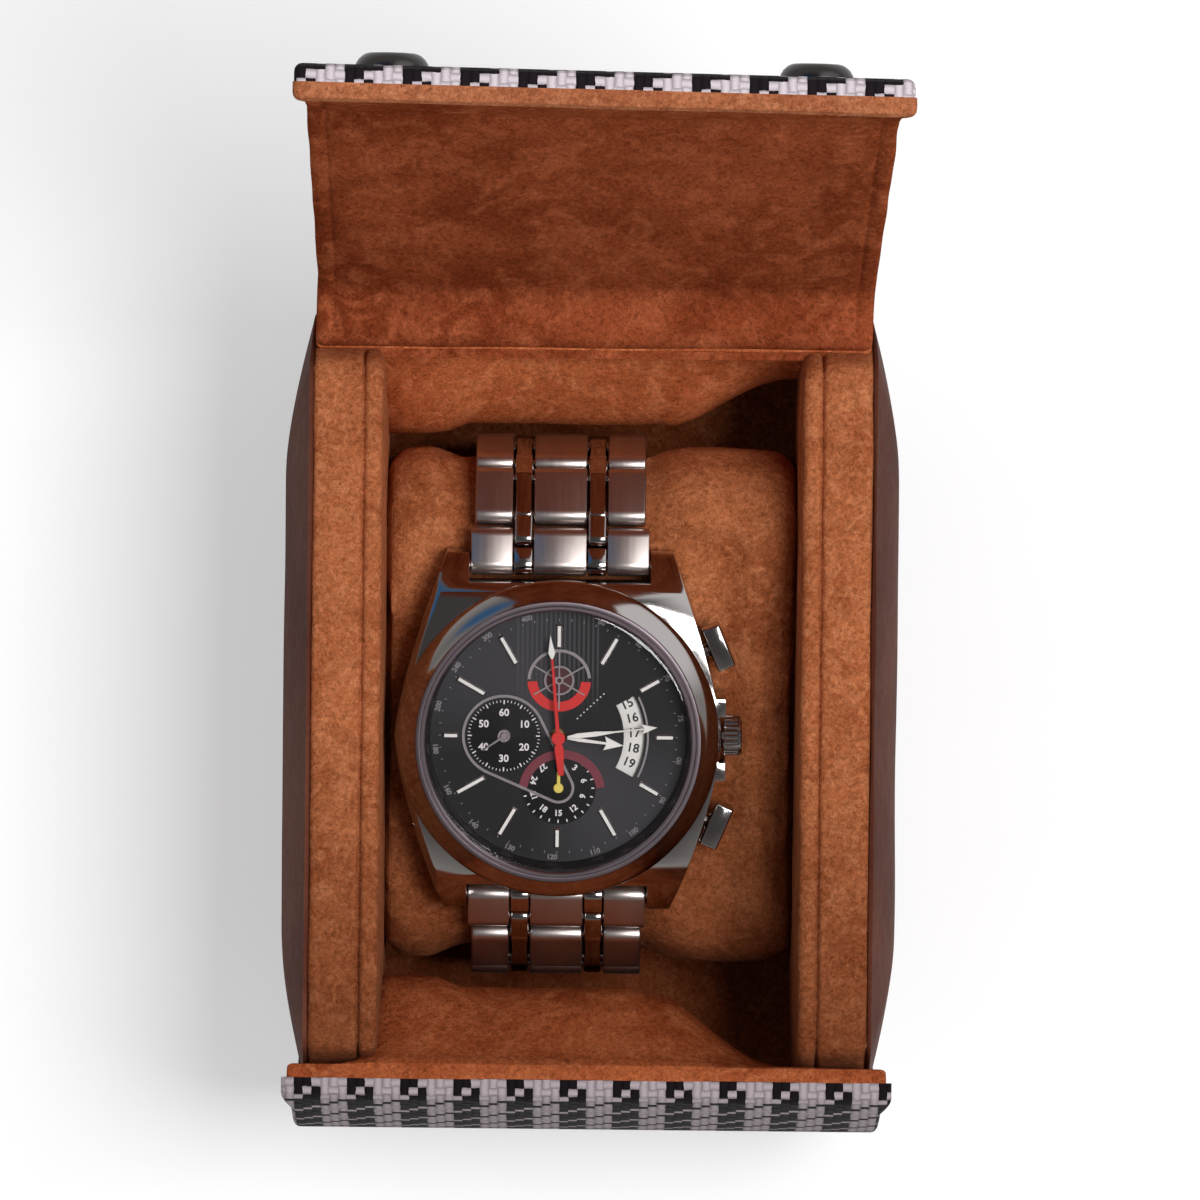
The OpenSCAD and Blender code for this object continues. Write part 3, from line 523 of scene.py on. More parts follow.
# %% Steels and other metals
def metal(name, tone, roughness, scratch_scale=(1, 1, 1), scratch=0.0, bump_depth=0.0):
    """A metal whose roughness is broken up by fine scratches."""
    material, tree, shader = new_material(name, Metallic=1.0, Base_Color=colour(*tone))
    place = object_place(tree)
    lines = add_node(tree, "Mapping", {"Vector": place, "Scale": scratch_scale}).outputs[0]
    marks = noise_at(tree, lines, 2600.0, 3.0)
    smudge = noise_at(tree, place, 220.0, 3.0)
    uneven = calc(tree, "MULTIPLY", calc(tree, "SUBTRACT", marks, 0.5), scratch)
    rough = calc(tree, "ADD", roughness, uneven)
    rough = calc(tree, "ADD", rough, calc(tree, "MULTIPLY", smudge, 0.06))
    tree.links.new(rough, shader.inputs["Roughness"])
    if bump_depth:
        bump(tree, shader, marks, 0.5, bump_depth * mm)
    return material


polished_steel = metal("polished_steel", (180, 175, 173), 0.07, scratch=0.04)
brushed_steel = metal("brushed_steel", (186, 176, 172), 0.3, (0.9, 0.05, 0.05), 0.12, 0.004)
dark_steel = metal("dark_steel", (84, 78, 78), 0.25)
flange_metal = metal("flange_metal", (142, 130, 136), 0.26)
gunmetal = metal("gunmetal", (88, 84, 84), 0.22, scratch=0.1)
magnet_metal = metal("magnet_metal", (170, 170, 172), 0.3, scratch=0.1)
trim_metal = metal("trim_metal", (186, 176, 180), 0.3)
brass = metal("movement_brass", (190, 160, 96), 0.3, scratch=0.1)
print("metals made")


# %% Plain finishes that still vary a little
def plain(name, tone, roughness, scale=500.0, vary=0.12, **constants):
    """Paint, board, foam or rubber: a tone with a soft mottle and a fine bump."""
    material, tree, shader = new_material(name, Roughness=roughness, **constants)
    place = object_place(tree)
    mottle = noise_at(tree, place, scale, 3.0)
    dark = [c * (1 - vary) for c in colour(*tone)[:3]] + [1]
    light = [min(1, c * (1 + vary)) for c in colour(*tone)[:3]] + [1]
    tree.links.new(mix_colour(tree, mottle, dark, light), shader.inputs["Base Color"])
    bump(tree, shader, mottle, 0.2, 0.03 * mm)
    return material


board_paper = plain("board_paper", (176, 150, 116), 0.9, 900.0)
foam_white = plain("foam_white", (226, 220, 200), 0.95, 1500.0, 0.2)
foam_tan = plain("foam_tan", (150, 88, 54), 0.95, 1500.0, 0.2)
white_enamel = plain("white_enamel", (232, 228, 224), 0.35)
marker_white = plain("marker_white", (236, 232, 228), 0.3)
hand_red = plain("hand_red", (206, 38, 36), 0.35)
hand_yellow = plain("hand_yellow", (226, 204, 92), 0.4)
crimson = plain("crimson", (118, 38, 54), 0.45)
dark_red = plain("dark_red", (74, 22, 30), 0.4)
gloss_black = plain("gloss_black", (14, 14, 16), 0.3, Specular_IOR_Level=0.35)
print_white = plain("print_white", (226, 220, 222), 0.5)
print_grey = plain("print_grey", (128, 122, 126), 0.5)
print_black = plain("print_black", (30, 28, 32), 0.5)
rubber_black = plain("rubber_black", (26, 26, 28), 0.7)
crystal_glass, tree, shader = new_material(
    "crystal_glass", Metallic=1.0, Roughness=0.03, Base_Color=(1, 1, 1, 1), Alpha=0.035)
print("finishes made")

# %% [markdown]
# ## Sections of suede and cloth
# A leaf of fabric is swept along a side view. Its section is a flat tray: the
# face that shows, a rounded edge, and a leg turned inwards that hides the board.
# A shallow groove beside each long edge is the crease where the leather worker
# has turned the suede over.


# %% Sections
def tray(half_w, thick, leg, edge_r, crease=0.0, crease_in=2.3, steps=26):
    """A ring of (x, depth): the face at depth 0, round edges, legs down to depth leg."""
    inner = half_w - edge_r
    face = [-inner + 2 * inner * i / steps for i in range(steps + 1)]
    if crease:
        for side in (-1, 1):
            face += [side * (half_w - crease_in + s) for s in (-0.9, -0.45, -0.2, 0, 0.2, 0.45, 0.9)]
    face = sorted(set(face))
    groove = [crease * math.exp(-(((abs(x) - half_w + crease_in) / 0.32) ** 2)) for x in face]
    ring = list(zip(face, groove))
    right = [(inner + edge_r * math.sin(a), edge_r - edge_r * math.cos(a))
             for a in (math.pi / 8 * i for i in range(1, 5))]
    leg = max(leg, edge_r + 0.01)
    wall_t = min(0.9, thick)
    right += [(half_w, leg), (half_w - wall_t, leg), (half_w - wall_t, thick)]
    return ring + right + [(-x, d) for x, d in reversed(right)]


def sweep(line, section, side=1, step=1.0):
    """Rings of a section carried along a side view. side is 1 where the depth runs to the
    line's right, as under suede, and -1 where it runs to its left, as under the outer cloth."""
    points = resample(line, step)
    rings, run = [], 0.0
    for i, point in enumerate(points):
        ahead = points[min(i + 1, len(points) - 1)]
        behind = points[max(i - 1, 0)]
        tangent = (ahead - behind).normalized()
        normal = Vector((tangent.y, -tangent.x)) * side
        if i:
            run += (point - points[i - 1]).length
        ring = []
        for x, depth in section(run, point):
            place = point + normal * depth
            ring.append(Vector((x, place.x, place.y)) * mm)
        rings.append(ring)
    centre = min(range(len(rings[0])), key=lambda i: abs(rings[0][i].x))
    return rings, centre


def wobble(bm, amount, size, seed):
    """Moves the points in and out a little, as hand-laid suede is never quite flat."""
    bm.normal_update()
    moves = [noise.noise(v.co / (size * mm) + Vector((seed, 0, 0))) * amount * mm for v in bm.verts]
    for v, move in zip(bm.verts, moves):
        v.co += v.normal * move


# %% [markdown]
# ## The case's lining and outer cloth
# The lining is one strip of suede: it starts halfway across the lip's rim, turns
# down the front wall, crosses the floor and climbs the back wall to the hinge.
# The cloth follows it outside. Both widen towards the lip, whose corners flare,
# and the back wall narrows towards the hinge. Between the cheeks the lining hangs
# inwards a little, so no hollow shows before or behind the pillow. It is tauter
# towards the right cheek, where the picture has two dark hollows.

# %% The lip, floor and walls
rim_half_t = wrap_t / 2
inner_line = mirrored(wall(0, lip_half_len, lip_z)) + wall(0, cheek_half_len, back_top_z)
outer_line = mirrored(wall(wrap_t, lip_half_len, lip_z)) + wall(wrap_t, cheek_half_len, back_top_z)


def with_rim(line, rim_reach, radius):
    """Adds the rim's flat top and rounds it into the wall."""
    corner = line[0]
    start = corner + Vector((rim_reach, 0))
    return [start] + fillet(start, corner, line[3], radius) + line[3:]


def slack(place):
    """How far the lining hangs inwards, loose from the rim and the hinge."""
    x, y, z = place / mm
    low, bracelet_x = 14, -4.2
    if y > 0:
        top, deepest, pulled_in = back_top_z, 14.6, 0.5 * smooth_step(6, 27, x)
    else:
        top, deepest, pulled_in = lip_z, 14.2, 0.75 * smooth_step(5, 26, x)
    t = max(0.0, min(1.0, (z - low) / (top - low)))
    between_cheeks = 1 - smooth_step(28, 33, abs(x))
    most = deepest + 1.5 * smooth_step(12.5, 16.5, abs(x - bracelet_x))
    return math.copysign(most * math.sin(math.pi * t) ** 1.3 * between_cheeks * (1 - pulled_in), y)


suede_case_line = with_rim(inner_line, -rim_half_t, 1.1)
rim_width = inner_line[0].x - rim_half_t - outer_line[0].x
cloth_case_line = with_rim(outer_line, rim_width, 1.3)


def suede_case_section(run, point):
    flare = 2.2 * smooth_step(lip_z - 8, lip_z, point.y) * (point.x < 0)
    return tray(37.3 + flare - 0.3 * back_taper(point), suede_t, suede_t, 0.55)


def back_taper(point):
    """The back wall narrows towards the flap, which is no wider than the cheeks."""
    return 2.5 * smooth_step(24, 47, point.x)


def cloth_case_section(run, point):
    flare = 1.2 * smooth_step(lip_z - 9, lip_z - 1, point.y) * (point.x < 0) - back_taper(point)
    leg = wrap_t - suede_t - 0.05 if run > rim_width + 1.6 else cloth_t
    return tray(39 + flare, cloth_t, leg, 0.8)


rings, centre = sweep(suede_case_line, suede_case_section)
bm = loft(rings, centre)
wobble(bm, 0.12, 9, 1)
for v in bm.verts:
    v.co.y -= slack(v.co) * mm
make_piece(bm, "lining_suede", suede_inside, "case", ["suede_lining"])
rings, centre = sweep(cloth_case_line, cloth_case_section, side=-1)
bm = loft(rings, centre)
make_piece(bm, "outer_cloth", check_cloth, "case", ["outer_fabric"])


# %% The back board, narrowed with the cloth
def copied(node):
    """A solid's mesh in a new bmesh, in its place, with its double points merged."""
    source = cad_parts[node]
    bm = bmesh.new()
    bm.from_mesh(source.data)
    bmesh.ops.transform(bm, matrix=source.matrix_world, verts=bm.verts)
    bmesh.ops.remove_doubles(bm, verts=bm.verts, dist=1e-6)
    return bm


bm = copied("back_board")
for v in bm.verts:
    narrowed = abs(v.co.x) / mm - back_taper(Vector((v.co.y, v.co.z)) / mm)
    v.co.x = math.copysign(narrowed * mm, v.co.x)
make_piece(bm, "board_back", board_paper, "case", ["back_board"])

# %% [markdown]
# ## The flap
# The flap is the same sandwich carried on: suede inside, board, cloth outside.
# It bends twice, at the soft hinge behind the back wall and at the fold near its
# end. A piece may bend across one joint only, so each fabric is split a little
# before the fold.

# %% The flap's side view
open_lean = 11
rest_fold = 11
main_len = 100
end_len = 30
main_dir = Vector((math.sin(math.radians(open_lean)), math.cos(math.radians(open_lean))))
end_lean = math.radians(open_lean - rest_fold)
end_dir = Vector((math.sin(end_lean), math.cos(end_lean)))
flap_start = Vector((cheek_half_len + 9.5, rim_z - 1.5))
fold_at = flap_start + main_dir * main_len
hem_at = fold_at + end_dir * end_len
split_run = 96


def outward(direction, distance):
    """A step to the line's right, which is the cloth side."""
    return Vector((direction.y, -direction.x)) * distance


back_top = inner_line[-1]
wall_up = (inner_line[-1] - inner_line[-2]).normalized()
valley_a = back_top + wall_up * 3.7
valley_b = flap_start - main_dir * 0.9
suede_flap_line = [back_top] + fillet(back_top, valley_a, valley_b, 3.0)
suede_flap_line += fillet(valley_a, valley_b, fold_at, 5) + [flap_start + main_dir * split_run]
split = flap_start + main_dir * split_run
hem_mid = hem_at + outward(end_dir, rim_half_t)
suede_end_line = [split] + fillet(split, fold_at, hem_at, 6)
suede_end_line += fillet(fold_at, hem_at, hem_mid, 1.1) + [hem_mid]

cloth_top = outer_line[-1]
cloth_a = cloth_top + Vector((-0.3, 0.9))
cloth_b = flap_start + outward(main_dir, wrap_t) - main_dir * 2.6
cloth_up = cloth_b + main_dir * 10
cloth_split = split + outward(main_dir, wrap_t)
fold_out = fold_at + outward(main_dir, wrap_t)
hem_out = hem_at + outward(end_dir, wrap_t)
cloth_flap_line = [cloth_top, cloth_a + (cloth_top - cloth_a) * 0.5]
cloth_flap_line += fillet(cloth_top, cloth_a, cloth_b, 0.4) + fillet(cloth_a, cloth_b, cloth_up, 1.6)
cloth_flap_line += [cloth_split]
cloth_end_line = [cloth_split] + fillet(cloth_split, fold_out, hem_out, 6)
cloth_end_line += fillet(fold_out, hem_out, hem_mid, 1.3) + [hem_mid]
print("fold at", [round(c, 1) for c in fold_at], "hem at", [round(c, 1) for c in hem_at])

# %% Suede and cloth of the flap
flap_half_w = 36.7
hem_half_w = 37.8
flap_height = hem_at.y - flap_start.y


def hang(bm):
    """The open flap stands a little to the right and turned, as soft things do."""
    for v in bm.verts:
        share = (v.co.z / mm - back_top_z) / flap_height
        settled = smooth_step(0, 0.06, share)
        v.co.x += (0.3 + 0.3 * share) * settled * mm
        v.co.y -= v.co.x * 0.0157 * share * settled


def flap_section(run, point):
    wide = flap_half_w + (hem_half_w - flap_half_w) * smooth_step(hem_at.y - 7, hem_at.y - 1, point.y)
    full = point.y < hem_at.y - 1.3 and point.y > back_top_z + 2.5
    return tray(wide, suede_t, rim_half_t if full else suede_t, 1.0, crease=0.3 if full else 0.001)


def flap_cloth_section(run, point):
    wide = flap_half_w + (hem_half_w - flap_half_w) * smooth_step(hem_at.y - 7, hem_at.y - 1, point.y)
    full = point.y < hem_at.y - 1.3 and point.y > back_top_z + 3
    return tray(wide - 0.15, cloth_t, rim_half_t if full else cloth_t, 1.0)



def flap_leaf(name, line, replaced, uneven=0.0):
    """One leaf of the flap: suede where it is given an unevenness, or else check cloth."""
    suede_side = uneven > 0
    rings, centre = sweep(
        line, flap_section if suede_side else flap_cloth_section, side=1 if suede_side else -1)
    bm = loft(rings, centre)
    if suede_side:
        wobble(bm, uneven, 14, 2)
    hang(bm)
    slot, material = ("suede_tan", suede_flap) if suede_side else ("check_cloth", check_cloth)
    return make_piece(bm, name, material, None, replaced)


piece = flap_leaf("flap_suede_main", suede_flap_line, ["flap_suede", "hinge_strip"], 0.16)
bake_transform(piece)
piece = flap_leaf("flap_suede_end", suede_end_line, ["end_suede", "fold_strip"], 0.12)
piece.data.materials.append(suede_hem)
for face in piece.data.polygons:
    face.material_index = int(face.center.z > (hem_at.y - 1.2) * mm)
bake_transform(piece)
piece = flap_leaf("flap_cloth_main", cloth_flap_line, ["flap_fabric"])
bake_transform(piece)
piece = flap_leaf("flap_cloth_end", cloth_end_line, ["end_fabric"])
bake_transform(piece)

# %% [markdown]
# ## The closure caps
# Two low domed caps stand on the end panel's cloth, near the hem. Each is spun
# from its own profile, with a flat middle and a rounded edge.

# %% Caps on the end panel
cap_profile = [(0, -0.6), (4.5, -0.6), (4.5, 0.25), (4.42, 0.6), (4.1, 1.15), (3.6, 1.6),
               (3.25, 1.8), (2.9, 1.9), (0, 1.95)]
cap_x = 25.9
cap_from_hem = 11
caps = bmesh.new()
for side in (-1, 1):
    before = set(caps.verts)
    verts = [caps.verts.new((r * mm, 0, z * mm)) for r, z in cap_profile]
    edges = [caps.edges.new(pair) for pair in zip(verts, verts[1:])]
    bmesh.ops.spin(caps, geom=verts + edges, axis=(0, 0, 1), cent=(0, 0, 0), angle=math.tau,
                   steps=64, use_merge=True)
    fresh = [v for v in caps.verts if v not in before]
    place = Matrix.Translation(Vector((side * cap_x, hem_out.x, hem_out.y - cap_from_hem)) * mm)
    bmesh.ops.transform(caps, matrix=place @ Matrix.Rotation(-math.pi / 2, 4, "X"), verts=fresh)
bmesh.ops.remove_doubles(caps, verts=caps.verts, dist=1e-7)
bmesh.ops.recalc_face_normals(caps, faces=caps.faces)
hang(caps)
make_piece(caps, "caps_domed", gunmetal, "flap_end", ["closure_caps"], sharp=50)

# %% [markdown]
# ## The cheeks
# A cheek is a padded disc, cut flat along the top. Its skin is one loft whose
# rings are the cheek's own outline, drawn in or out, carried from the middle of
# the inner face over the rim to the outer side. A narrow groove on the rim is the
# seam between the inner panel and the gusset.


# %% The outline and the suede skins
def cheek_outline(inset, corner=2.4):
    """The closed side view of a cheek, drawn in by inset, with round top corners."""
    half = wall(-inset, cheek_half_len, rim_z - inset)
    top = half[-1]
    inside = Vector((top.x - 12, top.y))
    radius = max(corner - inset * 0.5, 0.5)
    half = half[:-3] + fillet(half[-4], top, inside, radius)
    ring = mirrored(half) + half
    return resample(ring + [ring[0]], 1.2)


def cheek_ring(x, inset, count):
    """The outline as a ring of exactly count points at one x."""
    line = cheek_outline(inset)
    total = sum((b - a).length for a, b in zip(line, line[1:]))
    line = resample(line, total / count)[:count]
    return [Vector((x, p.x, p.y)) * mm for p in line]


cheek_in_x = 27.7
cheek_out_x = 36.9
seam_x = 30.2
face_rings = [(cheek_in_x - 0.5, 24), (cheek_in_x - 0.45, 17), (cheek_in_x - 0.35, 11),
              (cheek_in_x - 0.2, 6), (cheek_in_x - 0.05, 3)]
edge_rings = [(cheek_in_x + 1.2 * (1 - math.cos(a)), 1.2 * (1 - math.sin(a)) + 0.05)
              for a in (math.pi / 12 * i for i in range(7))]
seam_rings = [(seam_x + s, 0.05 + 0.75 * math.exp(-((s / 0.28) ** 2)))
              for s in (-0.7, -0.4, -0.2, 0, 0.2, 0.4, 0.7)]
band_rings = [(31.6, 0.05), (32.6, 0.05), (33.6, 0.05), (34.6, 0.05), (35.6, 0.1)]
outer_rings = [(cheek_out_x - 0.75, 0.18), (cheek_out_x - 0.3, 0.4), (cheek_out_x, 0.9), (cheek_out_x, 6)]
cheek_profile = face_rings + edge_rings + seam_rings + band_rings + outer_rings
ring_count = 260


def side_skin(profile, side, amount, size, seed):
    """A loft of the cheek's outline on one side of the case. The left one is mirrored."""
    bm = loft([cheek_ring(x, inset, ring_count) for x, inset in profile])
    wobble(bm, amount, size, seed + side)
    if side < 0:
        bmesh.ops.scale(bm, vec=(-1, 1, 1), verts=bm.verts)
        bmesh.ops.reverse_faces(bm, faces=bm.faces)
    return bm


for side, word in ((1, "right"), (-1, "left")):
    bm = side_skin(cheek_profile, side, 0.16, 7, 3)
    make_piece(bm, "cheek_suede_" + word, suede_rim, "case",
               [f"cheek_lining_{word}", f"cheek_gusset_{word}"], sharp=60)

# %% [markdown]
# ## The pillow
# The pillow is suede pulled over a foam block. The solid's outer shape is drawn
# out towards squarer ends, then skinned with small even faces and blown up a
# little as cloth. Each point stays within a small distance of its place, so the
# pillow keeps its fit under the watch.


# %% The pillow's shape
def outer_part(bm):
    """Deletes the smaller of a mesh's loose parts, which is the hollow for the foam."""
    bm.verts.ensure_lookup_table()
    left, parts = set(bm.verts), []
    while left:
        part, edge = set(), [next(iter(left))]
        while edge:
            v = edge.pop()
            if v in part:
                continue
            part.add(v)
            edge += [e.other_vert(v) for e in v.link_edges]
        left -= part
        parts.append(part)
    parts.sort(key=lambda part: max(v.co.x for v in part) - min(v.co.x for v in part))
    bmesh.ops.delete(bm, geom=[v for part in parts[:-1] for v in part], context="VERTS")


pillow_half_w = 27.1
pillow_draw = 5
core_y, core_z = 22.4, 20.8
bm = copied("pillow_cover")
outer_part(bm)
for v in bm.verts:
    place = Vector((v.co.y, v.co.z)) / mm
    top_z = 38.5 + place.x * 0.178
    inner = Vector((max(-core_y, min(core_y, place.x)), max(core_z, min(top_z, place.y))))
    away = place - inner
    reach = max(0.0, (abs(v.co.x) / mm - pillow_half_w + pillow_draw) / pillow_draw)
    drawn = pillow_draw * (1 - math.sqrt(max(0.0, 1 - reach * reach)))
    if away.length > 0.1:
        place += away.normalized() * drawn * 0.84
    v.co.y, v.co.z = place.x * mm, place.y * mm
pillow = make_piece(bm, "pillow_suede", suede_pillow, "watch_on_pillow",
                    ["pillow_cover"], sharp=180)

# %% The pillow blown up
def puffed(piece, voxel, pressure, limit, frames):
    """Skins a piece evenly and blows it up as cloth. Each point stays within limit of its place."""
    skin = piece.modifiers.new("skin", "REMESH")
    skin.mode = "VOXEL"
    skin.voxel_size = voxel * mm
    graph = bpy.context.evaluated_depsgraph_get()
    skinned = bpy.data.meshes.new_from_object(piece.evaluated_get(graph))
    piece.modifiers.remove(skin)
    piece.data = skinned
    rest = [v.co.copy() for v in skinned.vertices]
    cloth = piece.modifiers.new("cloth", "CLOTH")
    cloth.settings.quality = 5
    cloth.settings.mass = 0.3
    cloth.settings.use_pressure = True
    cloth.settings.uniform_pressure_force = pressure
    cloth.settings.effector_weights.gravity = 0
    scene = bpy.context.scene
    for number in range(1, frames + 1):
        scene.frame_set(number)
    graph = bpy.context.evaluated_depsgraph_get()
    blown = [v.co.copy() for v in piece.evaluated_get(graph).data.vertices]
    piece.modifiers.remove(cloth)
    scene.frame_set(1)
    most = 0.0
    for v, start, end in zip(skinned.vertices, rest, blown):
        move = end - start
        most = max(most, move.length)
        v.co = start + move * min(1.0, limit * mm / max(move.length, 1e-9))
    print(f"{piece.name}: the cloth moved {most / mm:.2f} mm at most, kept within {limit} mm")


puffed(pillow, 1.8, 4, 0.8, 20)
smoother = pillow.modifiers.new("round", "SUBSURF")
smoother.levels = smoother.render_levels = 1

# %% [markdown]
# ## The leather sides
# Each side is a padded leather panel: it rises from its edge in a long soft curve
# and is flat in the middle. The same outline, drawn in step by step while it
# moves out, gives that dome.

# %% Leather domes
leather_bulge = 4
leather_round = 22
leather_edge_t = 0.5
dome_steps = 16
dome_profile = [(cheek_out_x + 0.02, 0.5), (cheek_out_x + 0.15, 0.25),
                (cheek_out_x + leather_edge_t, 0.2)]
for i in range(1, dome_steps + 1):
    t = i / dome_steps
    rise = (leather_bulge - leather_edge_t) * math.sin(math.pi / 2 * t)
    dome_profile.append((cheek_out_x + leather_edge_t + rise, 0.2 + leather_round * t))
for side, word in ((1, "right"), (-1, "left")):
    bm = side_skin(dome_profile, side, 0.2, 16, 7)
    make_piece(bm, "leather_panel_" + word, leather, "case",
               [f"leather_side_{word}"], sharp=60)

# %% [markdown]
# ## The watch, in its own axes
# The watch's x runs to 3 o'clock, y to 12 and z out of the dial. It lies on the
# pillow with its dial tipped a little towards the lip. Round parts are spun from
# a profile of radius and height, and flat ones are plates with a plan outline.

# %% Helpers for round and flat watch parts
watch_tilt = math.radians(10.6)
watch_at = Vector((-4.2, -4, 56)) * mm
on_pillow = Matrix.Translation(watch_at) @ Matrix.Rotation(watch_tilt, 4, "X")


def spun(profile, centre=(0, 0), steps=96, closed=True):
    """A profile of (radius, height) points, in millimetres, spun round an upright axis."""
    bm = bmesh.new()
    verts = [bm.verts.new((r * mm, 0, z * mm)) for r, z in profile]
    edges = [bm.edges.new(pair) for pair in zip(verts, verts[1:])]
    if closed:
        edges.append(bm.edges.new((verts[-1], verts[0])))
    bmesh.ops.spin(bm, geom=verts + edges, axis=(0, 0, 1), cent=(0, 0, 0), angle=math.tau,
                   steps=steps, use_merge=True)
    bmesh.ops.remove_doubles(bm, verts=bm.verts, dist=1e-7)
    bmesh.ops.recalc_face_normals(bm, faces=bm.faces)
    bmesh.ops.translate(bm, vec=Vector((*centre, 0)) * mm, verts=bm.verts)
    return bm


def disc(radius, low, high, edge=0.02):
    """The profile of a plain disc with a fine bevel on its upper edge."""
    return [(0, low), (radius, low), (radius, high - edge), (radius - edge, high), (0, high)]


def bevelled(bm, edges, width, segments):
    """Rounds the given edges by a width in millimetres."""
    bmesh.ops.bevel(bm, geom=edges, offset=width * mm, segments=segments, profile=0.5,
                    affect="EDGES", material=-1)


def plate(bm, outline, low, high, bevel=0.0, inner=None):
    """Adds a flat plate with the given plan outline to a bmesh. inner is a hole's outline with
    as many points."""
    before = set(bm.verts)
    loops = [outline] if inner is None else [outline, inner]
    layers = []
    for z in (low, high):
        layers.append([[bm.verts.new(Vector((x, y, z)) * mm) for x, y in loop] for loop in loops])
    count = len(outline)
    faces = []
    for i in range(count):
        j = (i + 1) % count
        for k in range(len(loops)):
            a, b = layers[0][k], layers[1][k]
            faces.append(bm.faces.new((a[i], a[j], b[j], b[i])))
        if inner is not None:
            for outer_loop, inner_loop in layers:
                corners = (outer_loop[i], outer_loop[j], inner_loop[j], inner_loop[i])
                faces.append(bm.faces.new(corners))
    if inner is None:
        faces += [bm.faces.new(layer[0]) for layer in layers]
    bmesh.ops.recalc_face_normals(bm, faces=faces)
    if bevel:
        top = [e for e in {e for f in faces for e in f.edges}
               if all(abs(v.co.z - high * mm) < 1e-7 for v in e.verts)
               and e.calc_face_angle(0) > 0.7]
        bevelled(bm, top, bevel, 1)
    return [v for v in bm.verts if v not in before]


def turned(bm, verts, degrees, centre):
    """Turns points about the upright axis, then moves them to a centre."""
    turn = Matrix.Rotation(math.radians(degrees), 4, "Z")
    place = Matrix.Translation(Vector((*centre, 0)) * mm)
    bmesh.ops.transform(bm, matrix=place @ turn, verts=verts)


def bar(bm, inner_r, outer_r, width, low, high, degrees, bevel=0.0, centre=(0, 0)):
    """A straight bar that points out from a centre, such as an hour marker."""
    half = width / 2
    outline = [(inner_r, -half), (outer_r, -half), (outer_r, half), (inner_r, half)]
    turned(bm, plate(bm, outline, low, high, bevel), degrees, centre)


def ring_arc(bm, inner_r, outer_r, low, high, start, end, centre=(0, 0), steps=48):
    """A flat strip along an arc."""
    outer = [(centre[0] + p.x, centre[1] + p.y) for p in arc(0, 0, outer_r, start, end, steps)]
    inner = [(centre[0] + p.x, centre[1] + p.y) for p in arc(0, 0, inner_r, end, start, steps)]
    return plate(bm, outer + inner, low, high)


def on_watch(bm, name, material, body="watch_on_pillow", replaced=(), sharp=30):
    """Sets a watch part on the pillow and shades it."""
    bmesh.ops.transform(bm, matrix=on_pillow, verts=bm.verts)
    return make_piece(bm, name, material, body, replaced, sharp)


def softened(bm, width, segments=2, sharp=40):
    """Rounds every sharp edge a little, so that it catches the light."""
    bmesh.ops.dissolve_limit(bm, angle_limit=math.radians(1.5), verts=bm.verts, edges=bm.edges)
    edges = [e for e in bm.edges if e.is_manifold and e.calc_face_angle(0) > math.radians(sharp)]
    bevelled(bm, edges, width, segments)
    return bm


def slice_x(bm, low, high):
    """Keeps what lies between two x, in millimetres, and closes the cuts."""
    for at, side in ((low, -1), (high, 1)):
        geom = list(bm.verts) + list(bm.edges) + list(bm.faces)
        cut = bmesh.ops.bisect_plane(
            bm, geom=geom, plane_co=(at * mm, 0, 0), plane_no=(side, 0, 0), clear_outer=True)
        edges = [g for g in cut["geom_cut"] if isinstance(g, bmesh.types.BMEdge)]
        bmesh.ops.holes_fill(bm, edges=[e for e in edges if e.is_valid and e.is_boundary])
    return bm


print("dial tipped by", round(math.degrees(watch_tilt), 1), "degrees")

# %% [markdown]
# ## Case, bezel and crystal
# The case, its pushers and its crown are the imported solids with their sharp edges
# softened. The case's shoulders are rounded further, except beside the pushers,
# which need their room, and its crown guards are shortened. The bezel is spun: a
# polished slope outside, then a satin ring with a fine groove inside it.

# %% Case, pushers and crown
from_pillow = on_pillow.inverted()
bm = copied("watch_case")
bmesh.ops.transform(bm, matrix=from_pillow, verts=bm.verts)
bmesh.ops.dissolve_limit(bm, angle_limit=math.radians(1.5), verts=bm.verts, edges=bm.edges)
guard_x = 21.8 * mm
for v in bm.verts:
    if v.co.x > guard_x:
        v.co.x = guard_x + (v.co.x - guard_x) * 0.25
bm.normal_update()


def on_shoulder(edge):
    """True for an edge between the case's top and a flank, away from the pushers' pockets."""
    for v in edge.verts:
        beside_pusher = v.co.x > 0 and 4 * mm < abs(v.co.y) < 17 * mm
        if beside_pusher or abs(v.co.x) < 16 * mm or abs(v.co.y) > 20.5 * mm:
            return False
    if len(edge.link_faces) != 2:
        return False
    up, side = sorted(edge.link_faces, key=lambda face: -face.normal.z)
    faces_out = side.normal.x * side.calc_center_median().x > 0
    return up.normal.z > 0.6 and side.normal.z < 0.4 and faces_out


shoulders = [edge for edge in bm.edges if on_shoulder(edge)]
print(len(shoulders), "shoulder edges")
bevelled(bm, shoulders, 1.1, 4)
on_watch(softened(bm, 0.12), "case_middle", polished_steel, replaced=["watch_case"])
for word in ("top", "bottom"):
    make_piece(softened(copied("pusher_" + word), 0.3, 3), "push_button_" + word,
               polished_steel, "pusher_" + word, ["pusher_" + word])
make_piece(softened(copied("crown"), 0.1, 1), "crown_knob", polished_steel,
           "crown", ["crown"])

